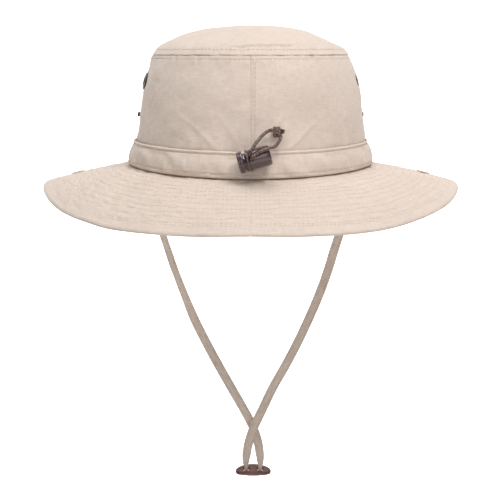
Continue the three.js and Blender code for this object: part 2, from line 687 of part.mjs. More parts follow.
function tapeSection(station, before, after) {
  const [place, [width, thick], degrees] = station;
  const centre = new THREE.Vector3(...place);
  const along = new THREE.Vector3(...after).sub(new THREE.Vector3(...before)).normalize();
  const fore = new THREE.Vector3(0, 1, 0);
  const inPlane = fore.clone().cross(along).normalize();
  const turn = THREE.MathUtils.degToRad(degrees);
  const across = fore.clone().multiplyScalar(Math.cos(turn)).addScaledVector(inPlane, Math.sin(turn));
  const face = across.clone().cross(along).normalize();
  const edge = thick * 0.35;
  const corners = [
    [width / 2, -edge], [width / 2, edge], [width / 2 - edge, thick / 2], [edge - width / 2, thick / 2],
    [-width / 2, edge], [-width / 2, -edge], [edge - width / 2, -thick / 2], [width / 2 - edge, -thick / 2],
  ];
  return corners.map(([w, h]) => centre.clone().addScaledVector(across, w).addScaledVector(face, h));
}

function buildStrap() {
  const last = STRAP_ROUTE.length - 1;
  const sections = STRAP_ROUTE.map((station, i) => {
    const before = STRAP_ROUTE[Math.max(0, i - 1)][0];
    const after = STRAP_ROUTE[Math.min(last, i + 1)][0];
    return tapeSection(station, before, after);
  });
  addPiece('chin_strap', loft(sections), TAPE);
  const tab = clothOutline([-1.0, 5, 11], TAB_OUTSIDE, TAB_THICK);
  const reach = STRAP_WIDTH / 2 / (CROWN_ROOT_X + CROWN_LENGTHEN);
  [['left', Math.PI], ['right', 0]].forEach(([name, centre]) => {
    addPiece(`chin_strap_end_${name}`, crownLoft([centre - reach, centre, centre + reach], tab), TAPE);
  });
}

function buildSlider() {
  const outline = new THREE.Shape();
  const halfLength = SLIDER_LENGTH / 2 - SLIDER_BEVEL;
  outline.absellipse(0, 0, halfLength, SLIDER_DEPTH / 2 - SLIDER_BEVEL, 0, 2 * Math.PI);
  [-1, 1].forEach((side) => {
    const hole = new THREE.Path();
    hole.absarc(side * SLIDER_HOLE_X, 0, SLIDER_HOLE_RADIUS + SLIDER_BEVEL, 0, 2 * Math.PI, true);
    outline.holes.push(hole);
  });
  const geometry = new THREE.ExtrudeGeometry(outline, {
    depth: SLIDER_THICK - 2 * SLIDER_BEVEL,
    curveSegments: 10,
    bevelThickness: SLIDER_BEVEL,
    bevelSize: SLIDER_BEVEL,
    bevelSegments: 1,
  });
  geometry.translate(0, 0, SLIDER_BEVEL - SLIDER_THICK / 2);
  const points = geometry.attributes.position;
  for (let i = 0; i < points.count; i += 1) {
    const reach = points.getX(i) / (SLIDER_LENGTH / 2);
    points.setZ(i, points.getZ(i) - SLIDER_DROOP * reach * reach);
  }
  geometry.computeVertexNormals();
  geometry.rotateX(SLIDER_TILT);
  geometry.translate(...SLIDER_CENTRE.toArray());
  addPiece('strap_slider', geometry, LEATHER);
}

buildCrown();
buildTip();
buildTapes();
buildSweatband();
buildHatband();
buildBrim();
buildVents();
buildSnaps();
buildDrawcord();
buildStrands();
buildLock();
buildStrap();
buildSlider();

export default hat;
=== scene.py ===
"""A boonie hat seen from behind: sewn cloth, stitching, hardware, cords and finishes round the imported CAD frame.

Sizes are in metres, in the frame's own axes: +Z up, +Y the front of the hat, origin at the head opening.
"""
import math

import bpy
import numpy as np
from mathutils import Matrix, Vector


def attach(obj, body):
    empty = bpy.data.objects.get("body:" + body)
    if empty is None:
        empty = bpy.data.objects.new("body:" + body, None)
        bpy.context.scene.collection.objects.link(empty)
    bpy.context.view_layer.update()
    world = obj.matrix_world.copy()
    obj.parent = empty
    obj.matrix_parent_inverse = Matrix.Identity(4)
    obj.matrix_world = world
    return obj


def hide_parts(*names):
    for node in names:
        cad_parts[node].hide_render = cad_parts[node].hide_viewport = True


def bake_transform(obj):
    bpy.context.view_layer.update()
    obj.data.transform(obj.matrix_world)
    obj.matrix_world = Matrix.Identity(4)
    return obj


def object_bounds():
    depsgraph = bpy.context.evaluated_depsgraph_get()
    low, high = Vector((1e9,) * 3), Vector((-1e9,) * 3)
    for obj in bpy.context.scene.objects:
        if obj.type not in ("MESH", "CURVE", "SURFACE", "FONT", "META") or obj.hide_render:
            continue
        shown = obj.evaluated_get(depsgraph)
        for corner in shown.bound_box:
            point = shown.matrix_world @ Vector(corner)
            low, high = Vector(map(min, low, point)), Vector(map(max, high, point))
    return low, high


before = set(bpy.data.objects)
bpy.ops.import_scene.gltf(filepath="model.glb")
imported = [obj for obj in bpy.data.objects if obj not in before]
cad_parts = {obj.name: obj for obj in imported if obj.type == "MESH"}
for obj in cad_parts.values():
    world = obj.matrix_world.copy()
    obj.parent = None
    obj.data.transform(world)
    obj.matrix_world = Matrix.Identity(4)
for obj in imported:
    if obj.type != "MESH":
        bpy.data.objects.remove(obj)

cad_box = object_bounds()
MM = 0.001
BACK = -math.pi / 2
CORD_RADIUS = 1.15 * MM
FINE_THREAD_RADIUS = 0.14 * MM
SIDES = {"left": -1, "right": 1}

# --- camera and light
FOCAL_SHARE = 2.7208  # focal length over the image's width
CAMERA_DISTANCE = 1.0239
CAMERA_HEIGHT = 0.0842
CAMERA_DOWN = math.radians(8.41)


def make_camera():
    data = bpy.data.cameras.new("camera")
    data.sensor_width = 36
    data.lens = FOCAL_SHARE * data.sensor_width
    camera = bpy.data.objects.new("camera", data)
    camera.location = (-0.0005, -CAMERA_DISTANCE, CAMERA_HEIGHT)
    camera.rotation_euler = (math.pi / 2 - CAMERA_DOWN, 0, 0)
    bpy.context.scene.collection.objects.link(camera)
    bpy.context.scene.camera = camera


def add_area(name, place, target, size, power, colour=(1, 1, 1)):
    data = bpy.data.lights.new(name, "AREA")
    data.size = size
    data.energy = power
    data.color = colour
    lamp = bpy.data.objects.new(name, data)
    lamp.location = place
    lamp.rotation_euler = (Vector(target) - Vector(place)).to_track_quat("-Z", "Y").to_euler()
    bpy.context.scene.collection.objects.link(lamp)


def make_light():
    world = bpy.data.worlds.new("studio")
    bpy.context.scene.world = world
    world.use_nodes = True
    background = world.node_tree.nodes["Background"]
    background.inputs["Color"].default_value = (1.0, 0.99, 0.985, 1)
    background.inputs["Strength"].default_value = 0.24
    add_area("key", (0.55, -0.90, 1.35), (0, 0, 0.02), 0.55, 14, (1.0, 0.99, 0.98))
    add_area("overhead", (-0.1, -0.25, 1.5), (0, 0, 0), 0.9, 10.5, (0.95, 0.98, 1.0))
    add_area("fill", (-0.3, -1.9, 0.45), (0, 0, 0), 1.0, 4.6, (1.0, 0.98, 0.955))
    bpy.context.scene.view_settings.view_transform = "Standard"


FLOOR_DROP = 0.12
FLOOR_FRONT = -3.5
FLOOR_HALF_WIDTH = 5
BEND_START = 2.2
BEND_RADIUS = 1.2
WALL_TOP = 4.5


def make_floor():
    """A white sweep: a floor that curves up into a wall behind the hat."""
    low = cad_box[0].z - FLOOR_DROP
    outline = [(FLOOR_FRONT, 0), (BEND_START, 0)]
    for turn in np.linspace(0, math.pi / 2, 16)[1:]:
        outline.append((BEND_START + BEND_RADIUS * math.sin(turn), BEND_RADIUS * (1 - math.cos(turn))))
    outline.append((BEND_START + BEND_RADIUS, WALL_TOP))
    verts = [(x, y, low + z) for y, z in outline for x in (-FLOOR_HALF_WIDTH, FLOOR_HALF_WIDTH)]
    floor = new_object("studio_floor", verts, grid_faces(len(outline), 2))
    made = Finish("studio_white", base=(0.93, 0.93, 0.93), rough=0.9, glow=(1, 1, 1))
    depth = made.node("ShaderNodeSeparateXYZ", {0: made.coordinates("Object")}).outputs[1]
    made.links.new(made.ramp(depth, 0.12, 0.95, 0.0, 0.5), made.shader.inputs["Emission Strength"])
    floor.data.materials.append(made.material)


# --- noise
def lattice(ix, iy, iz, seed):
    """A repeatable value from -1 to 1 for every whole-number place."""
    h = (ix * 374761393 + iy * 668265263 + iz * 2147483647 + seed * 1274126177) & 0xFFFFFFFF
    h = ((h ^ (h >> 13)) * 1274126177) & 0xFFFFFFFF
    h = h ^ (h >> 16)
    return h / 0x7FFFFFFF - 1.0


def noise(points, scale, seed=0):
    """Smooth noise of roughly -1 to 1 over points in metres, with features about scale metres across."""
    p = np.asarray(points, float) / scale
    whole = np.floor(p).astype(np.int64)
    f = p - whole
    f = f * f * f * (f * (f * 6 - 15) + 10)
    total = 0
    for corner in np.ndindex(2, 2, 2):
        x, y, z = (f[..., k] if up else 1 - f[..., k] for k, up in enumerate(corner))
        total = total + x * y * z * lattice(*(whole[..., k] + up for k, up in enumerate(corner)), seed)
    return total


def soft_noise(points, scale, seed=0, octaves=3):
    total = 0
    for i in range(octaves):
        total = total + noise(points, scale / 2 ** i, seed + 17 * i) / 1.8 ** i
    return total
def grain(seed, x, y=0.0, octaves=1):
    """Noise over one or two numbers that count features instead of metres."""
    x, y = np.broadcast_arrays(x, y)
    return soft_noise(np.stack([x, y, 0 * x], -1), 1.0, seed, octaves)

def bump(x, centre, width):
    """A smooth hill of height 1 at centre, gone about two widths away."""
    return np.exp(-(((x - centre) / width) ** 2))


def step(x, low, high):
    t = np.clip((x - low) / (high - low), 0, 1)
    return t * t * (3 - 2 * t)


def detail(full, quick):
    return full


# --- mesh helpers
def new_object(name, verts, faces, uvs=None, smooth=True):
    mesh = bpy.data.meshes.new(name)
    verts = np.ascontiguousarray(verts, np.float32).reshape(-1, 3)
    faces = [np.ascontiguousarray(f, np.int32) for f in (faces if isinstance(faces, list) else [faces])]
    mesh.vertices.add(len(verts))
    mesh.vertices.foreach_set("co", verts.ravel())
    sizes = np.concatenate([np.full(len(f), f.shape[1], np.int32) for f in faces])
    corners = np.concatenate([f.ravel() for f in faces])
    mesh.loops.add(len(corners))
    mesh.loops.foreach_set("vertex_index", corners)
    mesh.polygons.add(len(sizes))
    mesh.polygons.foreach_set("loop_start", np.concatenate([[0], np.cumsum(sizes)[:-1]]).astype(np.int32))
    mesh.polygons.foreach_set("use_smooth", np.full(len(sizes), smooth))
    if uvs is not None:
        layer = mesh.uv_layers.new(name="cloth")
        layer.data.foreach_set("uv", np.ascontiguousarray(uvs, np.float32).reshape(-1, 2)[corners].ravel())
    mesh.update(calc_edges=True)
    mesh.validate()
    obj = bpy.data.objects.new(name, mesh)
    bpy.context.scene.collection.objects.link(obj)
    return obj


def grid_faces(rows, cols, first=0, wrap_rows=False, wrap_cols=False, flip=False):
    i = np.arange(rows if wrap_rows else rows - 1)
    j = np.arange(cols if wrap_cols else cols - 1)
    i, j = np.meshgrid(i, j, indexing="ij")
    below, beside = (i + 1) % rows, (j + 1) % cols
    quads = np.stack([i * cols + j, i * cols + beside, below * cols + beside, below * cols + j], -1)
    quads = first + quads.reshape(-1, 4)
    return quads[:, ::-1] if flip else quads


def border_faces(line, count, closed, flip=False):
    """Faces between a line of one grid's points and the same line of its twin, count points on."""
    ahead = np.roll(line, -1)
    quads = np.stack([line, ahead, count + ahead, count + line], -1)
    quads = quads if closed else quads[:-1]
    return quads[:, ::-1] if flip else quads


def end_faces(rows, cols):
    """The two ends of a grid whose columns close on themselves, as one face each."""
    return [np.arange(cols)[None, ::-1], ((rows - 1) * cols + np.arange(cols))[None]]


def shell(name, outer, inner, uv, ring=False):
    """A closed cloth piece between two grids of points [rows, cols, 3]. A ring closes on itself along its rows."""
    rows, cols = outer.shape[:2]
    count = rows * cols
    index = np.arange(count).reshape(rows, cols)
    faces = [
        grid_faces(rows, cols, wrap_rows=ring), grid_faces(rows, cols, count, wrap_rows=ring, flip=True),
        border_faces(index[:, 0], count, ring), border_faces(index[:, -1], count, ring, flip=True),
    ]
    if not ring:
        faces += [border_faces(index[0], count, False, flip=True), border_faces(index[-1], count, False)]
    return doubled(name, outer, inner, uv, [np.concatenate(faces)])


def doubled(name, outer, inner, uv, faces):
    """A piece whose vertices are an outer and then an inner grid of points."""
    verts = np.concatenate([outer.reshape(-1, 3), inner.reshape(-1, 3)])
    return faced_outward(new_object(name, verts, faces, np.concatenate([uv.reshape(-1, 2)] * 2)))


def coordinates_of(mesh):
    flat = np.empty(len(mesh.vertices) * 3, np.float32)
    mesh.vertices.foreach_get("co", flat)
    return flat.reshape(-1, 3).astype(float)


def faced_outward(obj):
    """Turns a closed mesh the right way out, by its signed volume."""
    mesh = obj.data
    mesh.calc_loop_triangles()
    tris = np.empty(len(mesh.loop_triangles) * 3, np.int32)
    mesh.loop_triangles.foreach_get("vertices", tris)
    a, b, c = coordinates_of(mesh)[tris.reshape(-1, 3)].transpose(1, 0, 2)
    if np.einsum("ij,ij->i", a, np.cross(b, c)).sum() < 0:
        mesh.flip_normals()
    return obj


def unit(v):
    return v / np.maximum(np.linalg.norm(v, axis=-1, keepdims=True), 1e-12)


def moved(points, matrix):
    return points @ matrix[:3, :3].T + matrix[:3, 3]


def circle(count):
    """Angles once round a circle."""
    return np.linspace(0, 2 * math.pi, count, endpoint=False)


def lengths_along(path):
    """Distance from the start of a path to each of its points."""
    return np.concatenate([[0], np.cumsum(np.linalg.norm(np.diff(path, axis=0), axis=1))])


def sampled(at, length, values):
    """Rows of three values, known at each length, at other lengths."""
    return np.stack([np.interp(at, length, column) for column in values.T], -1)


def resample(points, spacing):
    """A smooth curve through given points, as points about spacing apart, and their lengths along it."""
    p = np.asarray(points, float)
    ext = np.concatenate([[2 * p[0] - p[1]], p, [2 * p[-1] - p[-2]]])
    t = np.linspace(0, 1, 40, endpoint=False)[:, None]
    fine = []
    for a, b, c, d in zip(ext[:-3], ext[1:-2], ext[2:-1], ext[3:]):
        bend = (2 * a - 5 * b + 4 * c - d) * t ** 2 + (3 * b - a - 3 * c + d) * t ** 3
        fine.append(0.5 * (2 * b + (c - a) * t + bend))
    fine = np.concatenate(fine + [p[-1:]])
    length = lengths_along(fine)
    at = np.linspace(0, length[-1], max(2, int(round(length[-1] / spacing)) + 1))
    return sampled(at, length, fine), at


def path_frames(path, start=(0, 0, 1)):
    """Two side directions along a path, carried along without twisting."""
    tangent = unit(np.gradient(path, axis=0))
    side = np.empty_like(path)
    s = np.asarray(start, float)
    for i, t in enumerate(tangent):
        s = unit(s - t * (s @ t))
        side[i] = s
    return side, np.cross(tangent, side)


def rings(a, b, sides):
    """Circles of radius 1 across a path, from its two side directions at each point."""
    angle = circle(sides)[:, None]
    return np.cos(angle) * a[..., None, :] + np.sin(angle) * b[..., None, :]


def tube(name, path, radius, sides, relief=None):
    """A round cord along a path. relief(angle, length) adds height to its surface."""
    rows = len(path)
    lengths = lengths_along(path)
    r = np.full((rows, sides), radius)
    if relief is not None:
        r = r + relief(circle(sides)[None, :], lengths[:, None])
    verts = (path[:, None] + rings(*path_frames(path), sides) * r[..., None]).reshape(-1, 3)
    uv = np.stack(np.broadcast_arrays(lengths[:, None], circle(sides)[None, :] * CORD_RADIUS), -1).reshape(-1, 2)
    verts = np.concatenate([verts, path[:1], path[-1:]])
    uv = np.concatenate([uv, [[0, 0], [lengths[-1], 0]]])
    j = np.arange(sides)
    k = (j + 1) % sides
    last = (rows - 1) * sides
    caps = np.concatenate([
        np.stack([np.full(sides, rows * sides), k, j], -1),
        np.stack([np.full(sides, rows * sides + 1), last + j, last + k], -1),
    ])
    return faced_outward(new_object(name, verts, [grid_faces(rows, sides, wrap_cols=True), caps], uv))


def stitches(name, rows, radius, stitch=2.6 * MM, gap=0.5 * MM):
    """Sewn thread as one piece: each stitch is a short bowed strand whose ends go into the cloth.

    rows is a list of (path, normals) of points on the cloth.
    """
    sides, along = 6, 7
    t = np.linspace(0, 1, along)
    lift = radius * (0.65 - 1.9 * (2 * t - 1) ** 6)
    thick = radius * (1 - 0.45 * (2 * t - 1) ** 8)
    one = grid_faces(along, sides, wrap_cols=True)
    cap = np.array([[0, 1, 2, 3], [0, 3, 4, 5]])
    caps = [cap, (along - 1) * sides + cap[:, ::-1]]
    verts, faces, count = [], [], 0
    for path, normals in rows:
        length = lengths_along(path)
        n = int(length[-1] // (stitch + gap))
        pitch = length[-1] / n
        at = (np.arange(n)[:, None] + 0.5) * pitch + (t - 0.5) * (pitch - gap)
        p = sampled(at, length, path)
        up = unit(sampled(at, length, normals))
        across = unit(np.cross(unit(np.gradient(p, axis=1)), up))
        middle = p + up * lift[:, None]
        verts.append((middle[:, :, None] + rings(across, up, sides) * thick[:, None, None]).reshape(-1, 3))
        block = count + np.arange(n)[:, None, None] * (along * sides)
        faces += [(part[None] + block).reshape(-1, 4) for part in (one, *caps)]
        count += n * along * sides
    return new_object(name, np.concatenate(verts), np.concatenate(faces))


def lathe(name, outline, segments, matrix, closed=False):
    """A solid of revolution about +Z from an outline of (radius, height); closed for a ring."""
    r, z = np.array(outline, float).T[..., None]
    angle = circle(segments)
    verts = np.stack(np.broadcast_arrays(r * np.cos(angle), r * np.sin(angle), z), -1).reshape(-1, 3)
    faces = [grid_faces(len(r), segments, wrap_cols=True, wrap_rows=closed)]
    if not closed:
        faces += end_faces(len(r), segments)
    return faced_outward(new_object(name, moved(verts, matrix), faces))


def prism(name, outline, low, high, matrix=np.eye(4)):
    """A straight solid with an outline in X and Z, running along Y from low to high."""
    n = len(outline)
    verts = np.concatenate([np.stack([outline[:, 0], np.full(n, y), outline[:, 1]], -1) for y in (low, high)])
    faces = [grid_faces(2, n, wrap_cols=True)] + end_faces(2, n)
    return faced_outward(new_object(name, moved(verts, matrix), faces, smooth=False))


def rounded(points, radius):
    """An outline with each corner cut back to a small arc."""
    p = np.array(points, float)
    out = [p[0]]
    for a, b, c in zip(p[:-2], p[1:-1], p[2:]):
        back, ahead = a - b, c - b
        cut_back = min(radius, 0.45 * np.linalg.norm(back), 0.45 * np.linalg.norm(ahead))
        s, e = b + unit(back) * cut_back, b + unit(ahead) * cut_back
        out += [(1 - t) ** 2 * s + 2 * t * (1 - t) * b + t ** 2 * e for t in (0, 0.5, 1)]
    return np.array(out + [p[-1]])


# --- finishes
class Finish:
    """A small builder for a procedural material."""

    INPUTS = {
        "base": "Base Color", "rough": "Roughness", "metal": "Metallic", "sheen": "Sheen Weight",
        "coat": "Coat Weight", "coat_rough": "Coat Roughness", "glow": "Emission Color",
        "specular": "Specular IOR Level",
    }

    def __init__(self, name, **values):
        self.material = bpy.data.materials.new(name)
        self.material.use_nodes = True
        self.nodes = self.material.node_tree.nodes
        self.links = self.material.node_tree.links
        self.shader = self.nodes["Principled BSDF"]
        for key, value in values.items():
            plain = (*value, 1) if isinstance(value, tuple) else value
            self.shader.inputs[self.INPUTS[key]].default_value = plain

    def node(self, kind, inputs=None, **settings):
        made = self.nodes.new(kind)
        for key, value in settings.items():
            setattr(made, key, value)
        for key, value in (inputs or {}).items():
            if isinstance(value, bpy.types.NodeSocket):
                self.links.new(value, made.inputs[key])
            else:
                made.inputs[key].default_value = value
        return made

    def math(self, operation, a, b=None):
        inputs = {0: a} if b is None else {0: a, 1: b}
        return self.node("ShaderNodeMath", inputs, operation=operation).outputs[0]

    def weighted(self, a, a_share, b, b_share):
        return self.math("ADD", self.math("MULTIPLY", a, a_share), self.math("MULTIPLY", b, b_share))

    def wave(self, value, turn):
        return self.math("SINE", self.math("MULTIPLY", value, turn))

    def coordinates(self, kind):
        return self.node("ShaderNodeTexCoord").outputs[kind]

    def split(self, vector):
        return self.node("ShaderNodeSeparateXYZ", {0: vector}).outputs[:2]

    def stretched(self, vector, scale):
        return self.node("ShaderNodeMapping", {"Vector": vector, "Scale": scale}).outputs[0]

    def noise(self, vector, scale, detail=3, rough=0.55):
        return self.node("ShaderNodeTexNoise", {
            "Vector": vector, "Scale": scale, "Detail": detail, "Roughness": rough}).outputs[0]

    def ramp(self, value, low, high, from_min=0.0, from_max=1.0):
        return self.node("ShaderNodeMapRange", {
            "Value": value, "From Min": from_min, "From Max": from_max, "To Min": low, "To Max": high}).outputs[0]

    def mix(self, share, a, b, blend="MIX"):
        made = self.node("ShaderNodeMix", data_type="RGBA", blend_type=blend)
        for index, value in ((0, share), (6, a), (7, b)):
            if isinstance(value, bpy.types.NodeSocket):
                self.links.new(value, made.inputs[index])
            else:
                made.inputs[index].default_value = (*value, 1) if isinstance(value, tuple) else value
        return made.outputs[2]
    def between(self, value, a, b, low=0.3, high=0.7):
        """One colour where a value is low and another where it is high."""
        return self.mix(self.ramp(value, 0, 1, low, high), a, b)
    def colour(self, socket):
        self.links.new(socket, self.shader.inputs["Base Color"])

    def roughness(self, socket):
        self.links.new(socket, self.shader.inputs["Roughness"])

    def relief(self, height, distance, strength=1.0):
        made = self.node("ShaderNodeBump", {"Height": height, "Distance": distance, "Strength": strength})
        self.links.new(made.outputs[0], self.shader.inputs["Normal"])


def shaded(colour, factor):
    """A colour made darker or lighter."""
    return tuple(min(1, c * factor) for c in colour)


def woven(name, base, thread=0.55 * MM, contrast=0.05, slub=0.085, twill=True, fade=0.03):
    """Woven cotton: yarns or twill lines along the cloth's own directions, uneven yarn, soft fading."""
    made = Finish(name, rough=0.93, sheen=0.12, specular=0.25)
    uv = made.coordinates("UV")
    u, v = made.split(uv)
    turn = 2 * math.pi / thread
    weft = made.wave(v, turn)
    if twill:
        weave = made.weighted(made.wave(made.math("ADD", u, v), turn * 0.5), 0.7, weft, 0.3)
    else:
        weave = made.math("MULTIPLY", made.wave(u, turn), weft)
    along = made.noise(made.stretched(uv, (2100, 130, 1)), 1.0, 3)
    across = made.noise(made.stretched(uv, (130, 1800, 1)), 1.0, 3)
    yarn = made.weighted(along, 0.75, across, 1.25)
    broad = made.noise(made.coordinates("Object"), 28.0, 4)
    fine = made.noise(made.coordinates("Object"), 260.0, 3)
    tone = made.between(broad, shaded(base, 1 - fade), shaded(base, 1 + fade))
    shade = made.math("ADD", made.ramp(yarn, -slub, slub, 0.7, 1.3), made.ramp(weave, -contrast, contrast, -1, 1))
    shade = made.math("ADD", shade, made.ramp(fine, -0.03, 0.03, 0.3, 0.7))
    level = made.math("ADD", shade, 1.0)
    grey = made.node("ShaderNodeCombineColor", {0: level, 1: level, 2: level}).outputs[0]
    made.colour(made.mix(1.0, tone, grey, "MULTIPLY"))
    made.roughness(made.ramp(fine, 0.86, 0.98, 0.3, 0.7))
    height = made.math("ADD", made.ramp(weave, 0, 0.6, -1, 1), made.ramp(yarn, 0, 0.7, 0.6, 1.4))
    made.relief(height, 0.00012, 0.6)
    return made.material


def thread_finish(name, base):
    """Sewing thread: twisted yarn with small changes of shade."""
    made = Finish(name, rough=0.75, sheen=0.2, specular=0.3)
    where = made.coordinates("Object")
    made.colour(made.between(made.noise(where, 120.0, 2), shaded(base, 0.82), base))
    made.relief(made.noise(where, 1800.0, 2), 0.0001, 0.5)
    return made.material


def braid_finish(name, dark, pale):
    """Braided cord: crossing yarns in two browns with scattered tan picks."""
    made = Finish(name, rough=0.45, coat=0.12, coat_rough=0.3, specular=0.5)
    u, v = made.split(made.coordinates("UV"))
    pick = 0.62 * MM
    one, two = (
        made.math("FLOOR", made.math("DIVIDE", made.math(operation, u, v), pick))
        for operation in ("ADD", "SUBTRACT"))
    cell = made.node("ShaderNodeCombineXYZ", {0: one, 1: two}).outputs[0]
    chance = made.node("ShaderNodeTexWhiteNoise", {"Vector": cell}).outputs[0]
    tone = made.between(chance, dark, shaded(dark, 1.7), 0, 0.8)
    made.colour(made.mix(made.math("GREATER_THAN", chance, 0.84), tone, pale))
    made.relief(made.noise(made.coordinates("Object"), 1500.0, 2), 0.0001, 0.4)
    return made.material


def metal_finish(name, base, worn, rough):
    """Plated metal with rubbed places and fine scratches."""
    made = Finish(name, metal=1.0)
    where = made.coordinates("Object")
    patches = made.noise(where, 420.0, 4)
    made.colour(made.mix(made.ramp(patches, 0, 0.9, 0.5, 0.75), base, worn))
    made.roughness(made.ramp(patches, rough * 0.75, rough * 1.35, 0.3, 0.7))
    made.relief(made.noise(made.stretched(where, (300, 2600, 300)), 1.0, 2), 0.00005, 0.25)
    return made.material


def lacquer_finish(name, base):
    """Metal painted to match the cloth, a little worn."""
    made = Finish(name, rough=0.5, coat=0.15, coat_rough=0.3)
    wear = made.noise(made.coordinates("Object"), 500.0, 4)
    made.colour(made.between(wear, base, shaded(base, 0.55), 0.62, 0.75))
    made.roughness(made.ramp(wear, 0.4, 0.6, 0.3, 0.7))
    made.relief(wear, 0.00004, 0.3)
    return made.material


def plastic_finish(name, base):
    """Glossy moulded plastic with faint mottling and fine scuffs."""
    made = Finish(name, coat=1.0, coat_rough=0.06, specular=0.5)
    where = made.coordinates("Object")
    scuff = made.noise(made.stretched(where, (900, 120, 900)), 1.0, 3)
    made.colour(made.between(made.noise(where, 180.0, 3), shaded(base, 0.85), shaded(base, 1.2)))
    made.roughness(made.ramp(scuff, 0.16, 0.30, 0.35, 0.75))
    made.relief(scuff, 0.00001, 0.2)
    return made.material


def leather_finish(name, base, centre, half_length, half_depth):
    """Smooth leather: pebbled grain, pores, and painted shade that darkens the rim round an oval, standing in for
    the side wall in shade.
    """
    made = Finish(name, specular=0.4, coat=0.08, coat_rough=0.4)
    where = made.coordinates("Object")
    voronoi = made.node("ShaderNodeTexVoronoi", {"Vector": where, "Scale": 1500.0}, feature="F1")
    pebbles = voronoi.outputs["Distance"]
    pores = made.noise(where, 900.0, 3)
    shifted = made.node("ShaderNodeVectorMath", {0: where, 1: centre}, operation="SUBTRACT").outputs[0]
    oval = made.node("ShaderNodeVectorMath", {0: shifted, 1: (1 / half_length, 1 / half_depth, 0)},
                     operation="MULTIPLY").outputs[0]
    out = made.node("ShaderNodeVectorMath", {0: oval}, operation="LENGTH").outputs["Value"]
    body = made.between(made.noise(where, 160.0, 3), shaded(base, 0.8), shaded(base, 1.25))
    # painted shade: the colour darkens towards the oval's rim, where the slider's side wall falls in shade
    made.colour(made.between(out, body, shaded(base, 0.45), 0.82, 1.0))
    made.roughness(made.ramp(pores, 0.42, 0.66, 0.3, 0.7))
    made.relief(made.math("ADD", pebbles, pores), 0.00012, 0.5)
    return made.material


make_camera()
make_light()
make_floor()

TWILL = woven("sand_twill", (0.70, 0.590, 0.510))
TWILL_UNDER = woven("sand_twill_underside", (0.67, 0.565, 0.49))
INTERLINING = woven("stiff_interlining", (0.62, 0.53, 0.46), thread=0.8 * MM, contrast=0.16, twill=False)
SWEATBAND = woven("sweatband_cotton", (0.78, 0.70, 0.62), thread=0.4 * MM, contrast=0.06, twill=False)
SEAM_TAPE = woven("seam_tape_cotton", (0.62, 0.52, 0.44), thread=0.5 * MM, contrast=0.12, twill=False)
STRAP_TAPE = woven("strap_twill", (0.57, 0.475, 0.408), thread=0.6 * MM, contrast=0.2, slub=0.22, fade=0.08)
THREAD = thread_finish("sewing_thread", (0.60, 0.49, 0.415))
BRIM_THREAD = thread_finish("brim_thread", (0.69, 0.59, 0.515))
THREAD_STRAP = thread_finish("strap_thread", (0.42, 0.35, 0.30))
ELASTIC = braid_finish("braided_elastic", (0.066, 0.032, 0.027), (0.40, 0.31, 0.25))
VENT_METAL = metal_finish("dark_brass", (0.10, 0.085, 0.075), (0.26, 0.22, 0.18), 0.34)
MESH_METAL = metal_finish("dark_wire", (0.12, 0.10, 0.09), (0.22, 0.19, 0.17), 0.4)
LACQUER = lacquer_finish("sand_lacquer", (0.60, 0.50, 0.43))
PLASTIC = plastic_finish("lock_plastic", (0.064, 0.027, 0.036))
SPRING_WIRE = metal_finish("spring_wire", (0.55, 0.55, 0.56), (0.7, 0.7, 0.7), 0.25)
SLIDER_CENTRE = Vector((0.002, 0, -0.2405))
LEATHER = leather_finish("slider_leather", (0.17, 0.072, 0.060), tuple(SLIDER_CENTRE), 13.7 * MM, 7.5 * MM)


def place(obj, body, look, slot, replaces=(), blend=None):
    """Gives a finished piece its look and hides the CAD parts it replaces; it moves with its body, or, given a
    blend, is baked in place and tied to no body. The slot is not used.
    """
    obj.data.materials.clear()
    obj.data.materials.append(look)
    if blend:
        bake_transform(obj)
    else:
        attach(obj, body)
    if replaces:
        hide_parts(*replaces)
    return obj


# --- the hat's surfaces
CROWN_ROOT_X = 0.0875
CROWN_LENGTHEN = 0.017
CROWN_HEIGHT = 0.080
CROWN_MEAN_RADIUS = CROWN_ROOT_X + CROWN_LENGTHEN / 2
CROWN_TAPER = 0.125
CROWN_SHOULDER = 0.048
CROWN_ROUNDING = 0.005
ROOT_DIP = 0.0027
TIP_RISE = 0.0208
BRIM_ROOT_X = 0.0868
BRIM_ROOT_Y = BRIM_ROOT_X + CROWN_LENGTHEN
BRIM_MEAN_RADIUS = 0.13
BRIM_EDGE_X = 0.1547
BRIM_EDGE_Y = 0.1661
BRIM_ROOT_Z = -0.0005
BRIM_EDGE_Z_SIDE = -0.0158
BRIM_EDGE_Z_END = -0.0329
BRIM_EDGE_Z_CORNER = -0.0041
BRIM_STRAIGHT = 0.57
FOLD_X = 0.0945


def crown_half_width(z):
    over = np.maximum(0, (z - CROWN_SHOULDER) / (CROWN_HEIGHT - CROWN_SHOULDER))
    return CROWN_ROOT_X - CROWN_TAPER * z - CROWN_ROUNDING * over * over


def on_crown(angle, z, outward=0.0):
    half = crown_half_width(z) + outward
    dip = ROOT_DIP * np.sin(angle) ** 2 * (1 - z / CROWN_HEIGHT)
    return np.stack(np.broadcast_arrays(
        half * np.cos(angle), (half + CROWN_LENGTHEN) * np.sin(angle), z - dip), -1)


def on_brim(angle, t, depth=0.0):
    s2 = np.sin(angle) ** 2
    edge_z = BRIM_EDGE_Z_SIDE + (BRIM_EDGE_Z_END - BRIM_EDGE_Z_SIDE) * s2
    edge_z = edge_z + BRIM_EDGE_Z_CORNER * np.sin(2 * angle) ** 2
    root_z = BRIM_ROOT_Z - ROOT_DIP * s2
    slope = BRIM_STRAIGHT * t + (1 - BRIM_STRAIGHT) * t * t
    return np.stack(np.broadcast_arrays(
        (BRIM_ROOT_X + (BRIM_EDGE_X - BRIM_ROOT_X) * t) * np.cos(angle),
        (BRIM_ROOT_Y + (BRIM_EDGE_Y - BRIM_ROOT_Y) * t) * np.sin(angle),
        root_z + (edge_z - root_z) * slope - depth), -1)


